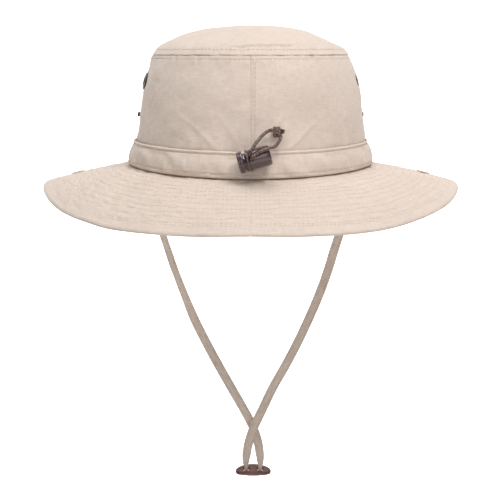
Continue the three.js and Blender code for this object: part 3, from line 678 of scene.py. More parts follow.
def half_angles(side, count, margin=0.1 * MM):
    """Angles over one half of the hat, from the seam at centre back round to centre front."""
    edge = margin / CROWN_ROOT_X
    turn = np.linspace(edge, math.pi - edge, count)
    return BACK + side * turn


def around(angle):
    """Distance round the crown from centre back, in metres, roughly."""
    return (angle - BACK) * CROWN_MEAN_RADIUS
# --- where the hardware stands
VENT_SPACING = 0.044
VENT_Z = 0.061
SNAP_Y = 0.012
SNAP_Z = 0.035
FOLD_Z = -0.0012
FOLD_ANGLE = math.radians(114.2)
SOCKET_INSET = 0.0013
FACET_SINK = 0.3 * MM
LOCK_CENTRE = np.array((2.5, -114.8, 11.4)) * MM


def standing(point, normal):
    """A frame at a point with its own +Z along a direction, as a 4 x 4 array."""
    turn = Vector((0, 0, 1)).rotation_difference(Vector(normal)).to_matrix()
    made = np.eye(4)
    made[:3, :3] = np.array(turn)
    made[:3, 3] = point
    return made


def crown_frame(side, y, z):
    """A frame that stands on the crown's side, sunk in a little because the CAD's facets are flat."""
    reach = math.asin(y / (float(crown_half_width(z)) + CROWN_LENGTHEN))
    angle = reach if side > 0 else math.pi - reach
    turn = on_crown(angle + 1e-3, z) - on_crown(angle - 1e-3, z)
    rise = on_crown(angle, z + 1e-5) - on_crown(angle, z - 1e-5)
    normal = unit(np.cross(turn, rise))
    return standing(on_crown(angle, z) - normal * FACET_SINK, normal)


VENTS = [
    (f"{side_name}_{end_name}", side, crown_frame(side, end * VENT_SPACING / 2, VENT_Z))
    for side_name, side in SIDES.items() for end_name, end in (("rear", -1), ("front", 1))
]
STUDS = [(side_name, side, crown_frame(side, SNAP_Y, SNAP_Z)) for side_name, side in SIDES.items()]


def brim_at(x, y):
    """The angle and t of the brim's surface over a place."""
    t, angle = 0.5, 0.0
    for _ in range(40):
        half_x = BRIM_ROOT_X + (BRIM_EDGE_X - BRIM_ROOT_X) * t
        half_y = BRIM_ROOT_Y + (BRIM_EDGE_Y - BRIM_ROOT_Y) * t
        angle = math.atan2(y / half_y, x / half_x)
        t += (math.hypot(x / half_x, y / half_y) - 1) * 1.2
    return angle, t


def socket_frame(side, stud):
    """Where the brim's snap socket lies, so that it comes up against the stud when the brim's side folds."""
    x, y, z = stud[:3, 3]
    x, z = side * x - FOLD_X, z - FOLD_Z
    reach, turn = math.hypot(x, z), math.atan2(z, x) - FOLD_ANGLE
    angle, t = brim_at(side * (FOLD_X + reach * math.cos(turn) - SOCKET_INSET), y)
    e = 1e-4
    along = on_brim(angle + e, t) - on_brim(angle - e, t)
    outward = on_brim(angle, t + e) - on_brim(angle, t - e)
    return standing(on_brim(angle, t), unit(np.cross(outward, along)))


SOCKETS = [(name, side, socket_frame(side, frame_)) for name, side, frame_ in STUDS]

# --- the crown's cloth
CLOTH = 0.0010
SEAM_GROOVE = 0.00035
SEAM_MARGIN = 0.00001
TOPSTITCH_DEPTH = 0.0026
SEAM_ROW = 0.0021
THREAD_RADIUS = 0.17 * MM
VENT_HOLE_RADIUS = 4.1 * MM
SNAP_HOLE_RADIUS = 1.2 * MM
HOLE_REACH = 8 * MM


def near_ring(points, frames, centre_radius, width, height):
    """A soft ridge or dish in the cloth round each piece of hardware."""
    total = 0
    for _, _, frame_ in frames:
        away = np.linalg.norm(points - frame_[:3, 3], axis=-1)
        total = total + height * np.exp(-(((away - centre_radius) / width) ** 2))
    return total


def side_folds(angle, z):
    """Folds, puckers and seam shapes of the crown's side cloth, as outward distance."""
    x = around(angle)  # from centre back
    full = 2 * math.pi * CROWN_MEAN_RADIUS
    x = (x + full / 2) % full - full / 2
    front = np.abs(x) > full / 4
    from_seam = np.where(front, full / 2 - np.abs(x), np.abs(x))
    base = on_crown(angle, z)
    free = step(z, 0.013, 0.030) * step(CROWN_HEIGHT - z, 0.0, 0.012)
    broad = (1.25 * soft_noise(base * (1, 1, 0.8), 0.052, 3, 2) + 0.55 * soft_noise(base, 0.020, 5, 2)) * MM * free
    broad = broad - 1.0 * MM * bump(z, 0.036, 0.016) * bump(np.cos(angle), -1, 0.25)
    gathers = grain(8, x / 0.0062, z / 0.05) * bump(z, 0.019, 0.007)
    gathers = gathers + 0.7 * grain(9, x / 0.0043, z / 0.03) * bump(z, CROWN_HEIGHT, 0.007)
    out = broad + 0.60 * MM * gathers
    # Pulled folds that fan out from the place where the cord is drawn tight.
    for lean, place_x, height, width in (
        (0.95, 0.004, 0.95, 0.0026), (0.55, 0.013, 0.7, 0.0030), (-0.7, -0.007, 0.45, 0.0032),
        (0.15, -0.001, 0.5, 0.0026), (1.7, 0.024, 0.6, 0.0036), (-1.7, -0.020, 0.4, 0.0036),
    ):
        line = x - place_x - lean * (z - 0.016) + 0.0016 * np.sin(z / 0.0052 + lean)
        out = out + height * MM * bump(line, 0, width) * bump(z, 0.024, 0.013) * (1 - front)
    # Seams at centre back and centre front, turned in, with a topstitched ridge on one side.
    out = out - SEAM_GROOVE * bump(from_seam, 0, 0.0005)
    out = out + 0.28 * MM * bump(x * np.where(front, -1, 1), SEAM_ROW, 0.0013) * (1 - front)
    out = out + 0.16 * MM * grain(4, z / 0.0035) * bump(from_seam, 0, 0.004)
    # The tip seam: the cloth turns in at the top and is puckered by its topstitch.
    top = CROWN_HEIGHT - z
    out = out - 0.45 * MM * bump(top, 0, 0.0009) - 0.22 * MM * bump(top, TOPSTITCH_DEPTH, 0.0007)
    out = out + 0.30 * MM * grain(6, x / 0.0036) * bump(top, 0.002, 0.003)
    out = out + near_ring(base, VENTS, 0.0078, 0.0022, 0.25 * MM) - near_ring(base, VENTS, 0.0, 0.0052, 0.35 * MM)
    out = out + near_ring(base, STUDS, 0.0072, 0.0022, 0.18 * MM) - near_ring(base, STUDS, 0.0, 0.0045, 0.35 * MM)
    return out + 0.14 * MM * soft_noise(base, 0.006, 12, 2) + 0.055 * MM * grain(13, x / 0.0075, z / 0.0022)


def crown_side(side, name):
    angle = half_angles(side, detail(560, 300), SEAM_MARGIN)[:, None]
    z = np.linspace(-0.42 * MM, CROWN_HEIGHT - 0.05 * MM, detail(150, 90))[None, :]
    angle, z = np.broadcast_arrays(angle, z)
    out = side_folds(angle, z)
    uv = np.stack([around(angle), z], -1)
    return shell(f"side_cloth_{name}", on_crown(angle, z, out), on_crown(angle, z, out - CLOTH), uv)


def cut(obj, cutters):
    """Cuts holes through a piece, then removes the cutting shapes."""
    for cutter in cutters:
        modifier = obj.modifiers.new("hole", "BOOLEAN")
        modifier.object = cutter
        modifier.operation = "DIFFERENCE"
        modifier.solver = "EXACT"
    depsgraph = bpy.context.evaluated_depsgraph_get()
    mesh = bpy.data.meshes.new_from_object(obj.evaluated_get(depsgraph))
    obj.modifiers.clear()
    old = obj.data
    obj.data = mesh
    bpy.data.meshes.remove(old)
    for cutter in cutters:
        data = cutter.data
        bpy.data.objects.remove(cutter)
        bpy.data.meshes.remove(data)
    return obj


def punch(frame_, radius):
    return lathe("hole", [(radius, -HOLE_REACH), (radius, HOLE_REACH)], 40, frame_)


for side_name, side in SIDES.items():
    holes = [
        punch(frame_, radius) for frames, radius in ((VENTS, VENT_HOLE_RADIUS), (STUDS, SNAP_HOLE_RADIUS))
        for _, s, frame_ in frames if s == side]
    cloth = cut(crown_side(side, side_name), holes)
    place(cloth, "hat", TWILL, "twill", [f"crown_side_{side_name}"])


# --- the tip
TIP_SEAM_X = 0.0725
TIP_MEAN_RADIUS = 0.081


def tip_height(r):
    return CROWN_HEIGHT + 0.15 * MM + TIP_RISE * (1 - 0.74 * r ** 2.2 - 0.26 * r ** 16)


def tip_surface(angle, r):
    seam = float(crown_half_width(CROWN_HEIGHT))
    return np.stack(np.broadcast_arrays(
        seam * r * np.cos(angle), (seam + CROWN_LENGTHEN) * r * np.sin(angle), tip_height(r)), -1)


def tip_folds(angle, r):
    """Upward shape of the tip's cloth: a soft uneven dome, a crease over the back seam, puckers at its edge."""
    base = tip_surface(angle, r)
    x = ((angle - BACK + math.pi) % (2 * math.pi) - math.pi) * TIP_MEAN_RADIUS
    run = np.abs(r - 1) * TIP_SEAM_X
    free = step(run, 0.0, 0.012)
    out = (0.7 * soft_noise(base, 0.06, 21, 2) + 0.35 * soft_noise(base, 0.018, 22, 2)) * MM * free
    out = out + (1.1 * bump(r, 0.55, 0.22) - 0.1 * bump(r, 0, 0.3)) * MM
    out = out - 2.2 * MM * bump(base[..., 0], 0.060, 0.016) * bump(base[..., 1], 0.0, 0.055) * free
    # A fold of slack cloth just above the back seam.
    behind = (base[..., 1] < 0) * step(0.0245 - np.abs(base[..., 0] - 0.008), 0.0, 0.007)
    crease_at = 0.0046 + 0.0005 * np.sin(base[..., 0] / 0.011)
    out = out - 0.9 * MM * bump(run, crease_at, 0.0006) * behind
    out = out + 0.8 * MM * bump(run, crease_at + 0.0016, 0.0012) * behind
    out = out - 0.22 * MM * bump(run, TOPSTITCH_DEPTH, 0.0007)
    out = out + 0.38 * MM * grain(26, x / 0.0038) * bump(run, 0.0030, 0.0040)
    out = out + 0.75 * MM * grain(27, x / 0.011, run / 0.02) * bump(run, 0.011, 0.008)
    return out + 0.10 * MM * soft_noise(base, 0.006, 28, 2)


def make_tip():
    rows, cols = detail(760, 380), detail(150, 80)
    angle = circle(rows)[:, None] + BACK
    r = 0.004 + 0.996 * (1 - np.linspace(0, 1, cols)[None, :] ** 1.25)
    angle, r = np.broadcast_arrays(angle, r)
    outer = tip_surface(angle, r)
    normal = unit(np.cross(np.roll(outer, -1, 0) - np.roll(outer, 1, 0), np.gradient(outer, axis=1)))
    normal = normal * np.sign(normal[..., 2:3] + 1e-9)
    outer = outer + normal * tip_folds(angle, r)[..., None]
    drop = np.array((0, 0, CLOTH)) * step(1 - r, 0, 0.01)[..., None]
    inner = outer - drop - outer * np.array((1, 1, 0)) * (CLOTH / 0.08)
    count = rows * cols
    index = np.arange(count).reshape(rows, cols)
    top = index[:, -1]
    faces = [
        grid_faces(rows, cols, wrap_rows=True), grid_faces(rows, cols, count, wrap_rows=True, flip=True),
        border_faces(index[:, 0], count, True), top[None], (count + top)[None, ::-1],
    ]
    return doubled("tip_cloth", outer, inner, outer[..., :2], faces)


place(make_tip(), "hat", TWILL, "twill", ["crown_tip"])


# --- crown stitching
def sewn_row(surface, angles, zs, facing=1):
    """A stitched row's points and normals, on a surface that is given by angle and height."""
    angles, zs = np.broadcast_arrays(np.asarray(angles, float), np.asarray(zs, float))
    return surface(angles, zs), facing * np.stack([np.cos(angles), np.sin(angles), 0 * angles], -1)


def side_surface(angle, z):
    return on_crown(angle, z, side_folds(angle, z))


def tip_row(angles, r):
    angles, r = np.broadcast_arrays(np.asarray(angles, float), np.asarray(r, float))
    base = tip_surface(angles, r)
    inward = tip_surface(angles, r - 0.01)
    turn = tip_surface(angles + 0.01, r)
    normal = unit(np.cross(turn - base, inward - base))
    normal = normal * np.sign(normal[:, 2:3])
    return base + normal * tip_folds(angles, r)[:, None], normal


ring_angles = np.linspace(BACK, BACK + 2 * math.pi, 1500)
tip_rows = [tip_row(ring_angles, 1 - TOPSTITCH_DEPTH / TIP_SEAM_X)]
place(stitches("tip_topstitch", tip_rows, THREAD_RADIUS), "hat", THREAD, "twill")
side_rows = [sewn_row(side_surface, ring_angles, CROWN_HEIGHT - TOPSTITCH_DEPTH)]
heights = np.linspace(0.0175, CROWN_HEIGHT - 0.004, 240)
for centre, offsets in ((BACK, (SEAM_ROW, SEAM_ROW + 0.001)), (BACK + math.pi, (SEAM_ROW, -SEAM_ROW))):
    for offset in offsets:
        side_rows.append(sewn_row(side_surface, centre + offset / crown_half_width(heights), heights))
place(stitches("side_topstitch", side_rows, THREAD_RADIUS), "hat", THREAD, "twill")


# --- tapes and sweatband
def flat_ring(name, angles, zs, outside, thick, relief, ring=True):
    angle, z = np.broadcast_arrays(np.asarray(angles)[:, None], np.asarray(zs)[None, :])
    out = outside + relief(angle, z)
    uv = np.stack([around(angle), z], -1)
    return shell(name, on_crown(angle, z, out), on_crown(angle, z, out - thick), uv, ring)


full_turn = BACK + circle(420)


def sweat_relief(angle, z):
    wave = 0.25 * MM * soft_noise(on_crown(angle, z), 0.03, 31, 2)
    return wave - 0.35 * MM * bump(z, 0.0045, 0.0008) - 0.3 * MM * bump(z, 0.029, 0.0007)


def inside_row(angles, zs, outside, relief):
    return sewn_row(lambda angle, z: on_crown(angle, z, outside + relief(angle, z)), angles, zs, facing=-1)


sweat = flat_ring("sweatband_cloth", full_turn, np.linspace(0.001, 0.031, 40), -0.003, 0.0012, sweat_relief)
place(sweat, "hat", SWEATBAND, "sweatband", ["sweatband"])
sweat_rows = [inside_row(ring_angles, z, -0.0042, sweat_relief) for z in (0.0045, 0.029)]
place(stitches("sweatband_stitch", sweat_rows, THREAD_RADIUS), "hat", THREAD, "sweatband")


def tape_relief(angle, z):
    return 0.08 * MM * soft_noise(on_crown(angle, z), 0.012, 33, 2)


hoop = flat_ring("tip_tape_cloth", full_turn, np.linspace(0.0722, 0.0778, 14), -0.00225, 0.0005, tape_relief)
place(hoop, "hat", SEAM_TAPE, "seam_tape", ["tip_seam_tape"])
for tape_name, centre in (("back", BACK), ("front", -BACK)):
    reach = 0.006 / CROWN_ROOT_X
    strip = flat_ring(
        f"seam_tape_cloth_{tape_name}", np.linspace(centre - reach, centre + reach, 16),
        np.linspace(0.033, 0.070, 60), -0.0024, 0.0005, tape_relief, ring=False)
    place(strip, "hat", SEAM_TAPE, "seam_tape", [f"crown_seam_tape_{tape_name}"])
    heights = np.linspace(0.034, 0.069, 120)
    tape_rows = [inside_row(centre + s * 0.0046 / CROWN_ROOT_X, heights, -0.0029, tape_relief) for s in (-1, 1)]
    place(stitches(f"seam_tape_stitch_{tape_name}", tape_rows, THREAD_RADIUS), "hat", THREAD, "seam_tape")
# --- hatband with its drawcord channel
BAND_THICK = 0.0008
BAND_LOW = -0.0004
BAND_HIGH = 0.0174
BAND_PROFILE = np.array([
    (-0.4, 1.6), (0.1, 3.1), (0.8, 3.8), (1.8, 4.1), (4.0, 4.3), (7.0, 4.1), (9.2, 3.75), (11.0, 3.3), (13.0, 2.6),
    (15.0, 1.9), (16.6, 1.5), (17.4, 1.2)]) * MM
OPENING_HALF_WIDTH = 0.0042
OPENING_MIDDLE = 0.0083
OPENING_HALF_HEIGHT = 0.0033
BAND_LOW_ROW = 0.0026
BAND_TOP_ROW = 0.0152


def band_outside(angle, z):
    """How far the hatband's cloth stands out from the crown, with its gathers."""
    x = around(angle)
    channel = bump(z, 0.0055, 0.0050)
    gathers = grain(41, x / 0.0058, z / 0.022) + 0.5 * grain(42, x / 0.0029, z / 0.012)
    out = 0.60 * MM * gathers * (0.35 + 0.65 * channel)
    out = out + 0.95 * MM * grain(44, (x + 0.9 * z) / 0.0125, z / 0.014) * step(0.0155 - z, 0, 0.004)
    out = out + 0.35 * MM * soft_noise(on_crown(angle, z), 0.024, 43, 2)
    out = out - 0.38 * MM * bump(z, BAND_TOP_ROW, 0.0006) + 0.65 * MM * bump(z, 0.0166, 0.0007)
    out = out - 0.22 * MM * bump(z, BAND_LOW_ROW, 0.0006)
    near_back = np.abs((x + 0.3) % (2 * math.pi * CROWN_MEAN_RADIUS) - 0.3)
    mouth = bump(near_back, 0.0, 0.0062) * bump(z, OPENING_MIDDLE, 0.0045)
    out = out + 0.55 * MM * mouth - 0.55 * MM * bump(near_back, 0, 0.0006) * (1 - mouth)
    return np.interp(z, *BAND_PROFILE.T) + out * step(z, BAND_LOW, 0.0022)


def band_surface(angle, z):
    wobble = 0.35 * MM * grain(45, around(angle) / 0.011)
    z = z + wobble * (step(z, 0.010, 0.0165) + 0.8 * (1 - step(z, BAND_LOW, 0.0030)))
    return on_crown(angle, z, band_outside(angle, z))


def make_band(side, name):
    angle = half_angles(side, detail(760, 360), SEAM_MARGIN)[:, None]
    angle, z = np.broadcast_arrays(angle, np.linspace(BAND_LOW, BAND_HIGH, 54)[None, :])
    thick = BAND_THICK * (0.35 + 0.65 * step(BAND_HIGH - z, 0, 0.001) * step(z, BAND_LOW, 0.0006))
    inner = on_crown(angle, z, np.maximum(band_outside(angle, z) - thick, 0.0003))
    return shell(f"band_cloth_{name}", band_surface(angle, z), inner, np.stack([around(angle), z], -1))


lens_angle = circle(48)
lens = np.stack([
    OPENING_HALF_WIDTH * np.cos(lens_angle),
    OPENING_MIDDLE - 0.0027 + OPENING_HALF_HEIGHT * np.sin(lens_angle) * np.abs(np.sin(lens_angle)) ** 0.3], -1)
for side_name, side in SIDES.items():
    band = cut(make_band(side, side_name), [prism("opening", lens, -0.125, -0.09)])
    place(band, "hat", TWILL, "twill", [f"hatband_{side_name}"])
clear_turn = np.linspace(BACK + 0.01, BACK + 2 * math.pi - 0.01, 1600)
band_rows = [
    sewn_row(band_surface, clear_turn, BAND_TOP_ROW),
    sewn_row(band_surface, clear_turn, BAND_LOW_ROW + 0.0002 * np.sin(clear_turn * 9))]
turn = np.linspace(0.2, math.pi - 0.2, 60)
for side in (-1, 1):  # a curved row on each side of the opening
    angles = BACK + side * 0.0054 * np.sin(turn) / (CROWN_ROOT_X + CROWN_LENGTHEN)
    band_rows.append(sewn_row(band_surface, angles, OPENING_MIDDLE + 0.0045 * np.cos(turn)))
place(stitches("band_stitch", band_rows, THREAD_RADIUS), "hat", THREAD, "twill")
# --- brim
BRIM_LENGTH = 0.0675
ROOT_TUCK = 0.0110  # share of its length that the brim is tucked in under the crown
EDGE_MARGIN = 0.0068
ROW_PITCH = 0.0052
BRIM_BLEND = {side: ((side * 0.0865, 0, 0), (side * 0.1200, 0, 0)) for side in (-1, 1)}
ROW_RUNS = [EDGE_MARGIN, EDGE_MARGIN + 0.0021]
while ROW_RUNS[-1] + ROW_PITCH < BRIM_LENGTH - 0.004:
    ROW_RUNS.append(ROW_RUNS[-1] + ROW_PITCH)


def row_wander(angle, index):
    x, y = np.cos(angle) * BRIM_MEAN_RADIUS, np.sin(angle) * BRIM_MEAN_RADIUS
    where = np.stack([x, y, np.full_like(angle, index * 0.1)], -1)
    share = 0.3 if index < 2 else 1.0
    fine = 0.8 * noise(where, 0.009, 70 + index) + 0.35 * noise(where, 0.004, 90 + index)
    return share * MM * (noise(where, 0.030, 50 + index) + fine)


def brim_waves(angle, t):
    """Broad shape of the resting brim, the same through all its layers, as height."""
    where = on_brim(angle, t)
    out = 0.55 * MM * soft_noise(where, 0.085, 61, 2) * step(t, 0.05, 0.8)
    out = out + 0.45 * MM * noise(where, 0.030, 62) * step(t, 0.05, 0.5) * step(1 - t, -0.2, 0.25)
    edge = grain(63, 0.16 / 0.024 * np.cos(angle), 0.16 / 0.024 * np.sin(angle))
    corner = bump(np.cos(angle + 2.40), 1, 0.06) + 0.4 * bump(np.cos(angle + 0.70), 1, 0.09)
    ends = bump(np.cos(angle - math.pi), 1, 0.05) + 0.4 * bump(np.cos(angle), 1, 0.05)
    out = out + (1.3 * ends - 1.2 * corner) * MM * t * t
    out = out + 0.16 * MM * edge * step(t, 0.82, 1.0)
    return out * (1 - near_ring(where, SOCKETS, 0.0, 0.014, 1.0))  # flat round the sockets


def brim_quilting(angle, t, seed=0):
    """Small puckers between and beside the stitched rows."""
    run = (1 - t) * BRIM_LENGTH
    mean_radius = BRIM_MEAN_RADIUS * (0.65 + 0.35 * t)
    length = (angle - BACK) * mean_radius
    out = 0
    for index, at in enumerate(ROW_RUNS):
        line = at + row_wander(angle, index)
        pucker = grain(80 + index + seed, length / 0.0042, index * 3.7)
        out = out - 0.15 * MM * bump(run, line, 0.0007)
        out = out + (0.24 - 0.08 * np.cos(angle)) * MM * pucker * bump(run, line, 0.0022)
    small = grain(99 + seed, length / 0.0052, run / 0.0034, octaves=2)
    out = out + (0.26 - 0.10 * np.cos(angle)) * MM * small * step(run, 0.0, EDGE_MARGIN)
    long_creases = grain(107 + seed, (length + 0.6 * run) / 0.012, run / 0.004)
    out = out + 0.24 * MM * np.abs(long_creases) * step(run, 0.002, EDGE_MARGIN)
    crinkle = grain(104 + seed, length / 0.0022, run / 0.0024)
    out = out + 0.085 * MM * crinkle * step(run, 0.001, EDGE_MARGIN)
    from_seam = np.minimum(np.abs(length), np.abs(np.abs(length) - math.pi * mean_radius))
    return out - 0.22 * MM * bump(from_seam, 0, 0.0005)


def brim_depths(layer, t):
    """Upper and lower depth of a layer: the cloths turn in and meet at the brim's edge."""
    run = (1 - t) * BRIM_LENGTH
    turned = 1 - np.sqrt(1 - np.clip(1 - run / 0.0013, 0, 1) ** 2)
    if layer == "top":
        return 1.20 * MM * turned, (0.7 + 0.55 * turned) * MM
    if layer == "bottom":
        return (2.1 - 0.75 * turned) * MM, (2.8 - 1.40 * turned) * MM
    return 1.35 * MM, 1.65 * MM


def brim_place(angle, t, layer, face):
    """Points on the upper (0) or lower (1) face of one of the brim's layers."""
    rise = brim_waves(angle, t)
    if layer == "top":
        rise = rise + brim_quilting(angle, t)
    elif layer == "bottom":
        rise = rise - brim_quilting(angle, t, 40)
    return on_brim(angle, t, brim_depths(layer, t)[face] - rise)


def make_brim(side, name, layer):
    rows, cols = {"top": (900, 170), "bottom": (620, 120), "interlining": (240, 30)}[layer]
    reach = np.linspace(0, 1, cols)
    if layer == "interlining":
        reach = reach * (1 - 0.003 / BRIM_LENGTH)
    else:
        reach = 1 - (1 - reach) ** 1.25
    reach = reach - ROOT_TUCK * (1 - reach) ** 8
    angle, t = np.broadcast_arrays(half_angles(side, rows, SEAM_MARGIN)[:, None], reach[None, :])
    uv = np.stack([(angle - BACK) * BRIM_MEAN_RADIUS, t * BRIM_LENGTH], -1)
    outer, inner = (brim_place(angle, t, layer, face) for face in (0, 1))
    socket = next(frame_ for _, s, frame_ in SOCKETS if s == side)
    return cut(shell(f"brim_{layer}_cloth_{name}", outer, inner, uv), [punch(socket, SNAP_HOLE_RADIUS)])


for side_name, side in SIDES.items():
    for layer, look, slot_name in (
            ("top", TWILL, "twill"), ("interlining", INTERLINING, "interlining"),
            ("bottom", TWILL_UNDER, "twill_underside")):
        nodes = [f"brim_{layer}_{side_name}", f"brim_flap_{layer}_{side_name}"]
        fold = (f"brim_side_{side_name}", *BRIM_BLEND[side])
        place(make_brim(side, side_name, layer), "hat", look, slot_name, nodes, fold)
    angles = half_angles(side, 900, 1.2 * MM)
    for face, layer, sign in ((0, "top", 1), (1, "bottom", -1)):
        rows = []
        for index, at in enumerate(ROW_RUNS):
            t = 1 - (at + row_wander(angles, index)) / BRIM_LENGTH
            path = brim_place(angles, t, layer, face)
            ahead = brim_place(angles, t + 0.01, layer, face) - path
            normal = unit(np.cross(np.gradient(path, axis=0), ahead))
            rows.append((path, normal * np.sign(normal[:, 2:3]) * sign))
        sewn = stitches(f"brim_stitch_{layer}_{side_name}", rows, FINE_THREAD_RADIUS)
        place(sewn, "hat", BRIM_THREAD, "twill" if sign > 0 else "twill_underside", (), fold)

# --- vents and snaps
def wires(name, paths, radius, sides=8):
    """Several thin round wires as one piece."""
    verts, faces, count = [], [], 0
    caps = np.array([[0, 1, 2, 3], [0, 3, 4, 5], [0, 5, 6, 7]])
    for path in paths:
        rows = len(path)
        verts.append((path[:, None] + rings(*path_frames(path, (0.31, 0.22, 0.92)), sides) * radius).reshape(-1, 3))
        faces += [grid_faces(rows, sides, count, wrap_cols=True), count + caps]
        faces.append(count + (rows - 1) * sides + caps[:, ::-1])
        count += rows * sides
    return new_object(name, np.concatenate(verts), np.concatenate(faces))


def woven_screen(name, matrix):
    pitch, radius, level, wire = 0.78 * MM, 5.45 * MM, -2.7 * MM, 0.095 * MM
    paths = []
    for k in range(-6, 7):
        half = math.sqrt(radius ** 2 - (k * pitch) ** 2)
        along = np.linspace(-half, half, 61)
        across = np.full_like(along, k * pitch)
        wave = wire * np.cos(math.pi * along / pitch) * (1 if k % 2 else -1)
        for x, y, sign in ((along, across, 1), (across, along, -1)):
            paths.append(moved(np.stack([x, y, level + sign * wave], -1), matrix))
    return wires(name, paths, wire)


EYELET = [
    (3.3, -2.2), (3.9, -2.2), (3.9, 0.30), (6.25, 0.38), (6.3, 0.55), (6.15, 0.85), (5.6, 1.1), (5.0, 1.22),
    (4.4, 1.25), (3.9, 1.15), (3.5, 0.9), (3.32, 0.5), (3.3, 0.0)]
WASHER = [
    (4.3, -1.65), (6.2, -1.65), (6.2, -3.6), (3.5, -3.6), (3.5, -3.25), (5.85, -3.25), (5.85, -2.2), (4.3, -2.2)]
STUD = [
    (1.25, 2.4), (1.25, 0.35), (5.0, 0.35), (5.02, 0.5), (4.85, 0.72), (4.2, 0.86), (2.4, 0.92), (1.9, 1.0),
    (1.62, 1.4), (1.6, 2.1), (1.75, 2.5), (1.95, 2.8), (1.85, 3.1), (1.4, 3.28)]
POST = [(4.9, -1.9), (5.0, -1.75), (4.9, -1.45), (4.5, -1.35), (0.95, -1.35), (0.95, 2.1)]
SOCKET = [
    (1.25, 0.35), (5.0, 0.35), (5.05, 0.6), (4.95, 0.95), (4.7, 1.18), (4.2, 1.27), (3.0, 1.25), (2.6, 1.15),
    (2.45, 1.0), (2.5, 0.85), (1.25, 0.85)]
CAP = [(2.2, -3.98), (4.0, -3.8), (4.9, -3.55), (5.2, -3.35), (5.1, -3.25), (0.95, -3.25), (0.95, 0.7)]


def fit_turned(family, name, body, matrix, parts):
    """Turned parts on one centre line. parts lists (part, outline in mm, segments, look, slot, ring or not)."""
    for part, outline, segments, look, slot_name, ring in parts:
        made = lathe(f"{part}_{name}", np.array(outline) * MM, segments, matrix, ring)
        place(made, body, look, slot_name, [f"{family}_{part}_{name}"])


for vent_name, _, frame_ in VENTS:
    fit_turned("vent", vent_name, "hat", frame_, [
        ("eyelet", EYELET, 72, VENT_METAL, "vent_metal", True),
        ("washer", WASHER, 64, VENT_METAL, "vent_metal", True)])
    screen = woven_screen(f"mesh_{vent_name}", frame_)
    place(screen, "hat", MESH_METAL, "vent_mesh", [f"vent_screen_{vent_name}"])
for snap_name, _, frame_ in STUDS:
    fit_turned("snap", snap_name, "hat", frame_, [
        ("stud", STUD, 48, VENT_METAL, "snap_metal", False),
        ("post", POST, 48, LACQUER, "snap_lacquered", False)])
for snap_name, _, frame_ in SOCKETS:
    lowered = frame_.copy()
    lowered[2, 3] += float(brim_waves(*np.array(brim_at(*frame_[:2, 3]))))
    fit_turned("snap", snap_name, f"brim_side_{snap_name}", lowered, [
        ("socket", SOCKET, 48, LACQUER, "snap_lacquered", True),
        ("cap", CAP, 48, LACQUER, "snap_lacquered", False)])
# --- drawcord, strands and knot
STRAND_LEFT = [
    (-5.4, -105.1, 3.2), (-3.6, -105.2, 4.6), (-2.1, -105.3, 6.8), (-0.6, -106.2, 8.8), (0.7, -107.9, 10.1),
    (0.5, -111.0, 11.1), (0.2, -114.4, 12.2), (-0.1, -118.0, 13.3), (-0.3, -120.8, 14.4), (0.1, -122.2, 16.4),
    (1.5, -121.8, 19.2), (3.2, -120.3, 22.0), (5.4, -117.7, 24.6), (8.6, -113.0, 27.7), (12.0, -107.8, 29.7),
    (14.0, -104.6, 30.0),
]
STRAND_RIGHT = [
    (5.4, -105.1, 3.2), (4.0, -105.2, 3.9), (3.0, -105.4, 5.2), (2.2, -106.5, 6.8), (1.5, -108.6, 7.6),
    (1.2, -112.0, 8.5), (0.9, -115.2, 9.6), (0.6, -118.8, 10.7), (0.5, -121.8, 11.7), (1.1, -123.8, 13.3),
    (3.2, -124.2, 15.1), (6.8, -123.6, 17.2), (11.8, -122.4, 18.9), (16.1, -119.0, 20.1), (19.0, -113.0, 23.1),
    (20.3, -107.4, 25.3), (20.2, -104.4, 26.3),
]
KNOT_CENTRE = np.array((17.4, -102.6, 28.6))
STRAND_BLEND = ("cord_lock", (0, -0.1051, 0.0035), (0, -0.1110, 0.0105))


def braid(angle, length):
    turn = 2 * math.pi * length / 0.0026
    return 0.075 * MM * (np.maximum(np.sin(4 * angle + turn), np.sin(4 * angle - turn)) - 0.6)


channel_end = 0.0064 / CROWN_ROOT_X
ring_path = on_crown(np.linspace(BACK + channel_end, BACK + 2 * math.pi - channel_end, 900), 0.0055, 0.0016)
hidden_cord = tube("channel_cord", ring_path, CORD_RADIUS, 20, relief=braid)
place(hidden_cord, "hat", ELASTIC, "elastic_cord", ["drawcord"])

knot_turns = np.linspace(0, 1, 90)
knot_angle = 2 * math.pi * 2.6 * knot_turns + 0.7
knot_helix = KNOT_CENTRE + np.stack([
    -1.9 + 3.9 * knot_turns + 0.35 * np.sin(knot_angle), 1.9 * np.cos(knot_angle), 2.75 * np.sin(knot_angle)], -1)
knot_tails = [
    [(-1.8, -0.9, 0.6), (0.2, 0.2, 0.9), (2.2, 0.4, 1.2), (3.9, -0.1, 1.2), (5.3, -0.9, 0.7)],
    [(1.2, -0.9, -2.1), (0.2, 0.5, -1.2), (2.0, 1.0, -0.9), (3.6, 1.3, -0.6), (5.0, 1.2, 0.2)],
]
knot_parts = [tube("knot_wraps", resample(knot_helix * MM, 0.25 * MM)[0], 1.05 * MM, 24, relief=braid)]
for i, tail in enumerate(knot_tails):
    path = resample((KNOT_CENTRE + np.array(tail)) * MM, 0.25 * MM)[0]
    knot_parts.append(tube(f"knot_tail_{i}", path, 1.0 * MM, 24, relief=braid))


def joined(name, parts):
    """Several meshes as one piece."""
    with bpy.context.temp_override(active_object=parts[0], selected_editable_objects=parts):
        bpy.ops.object.join()
    parts[0].name = name
    return parts[0]


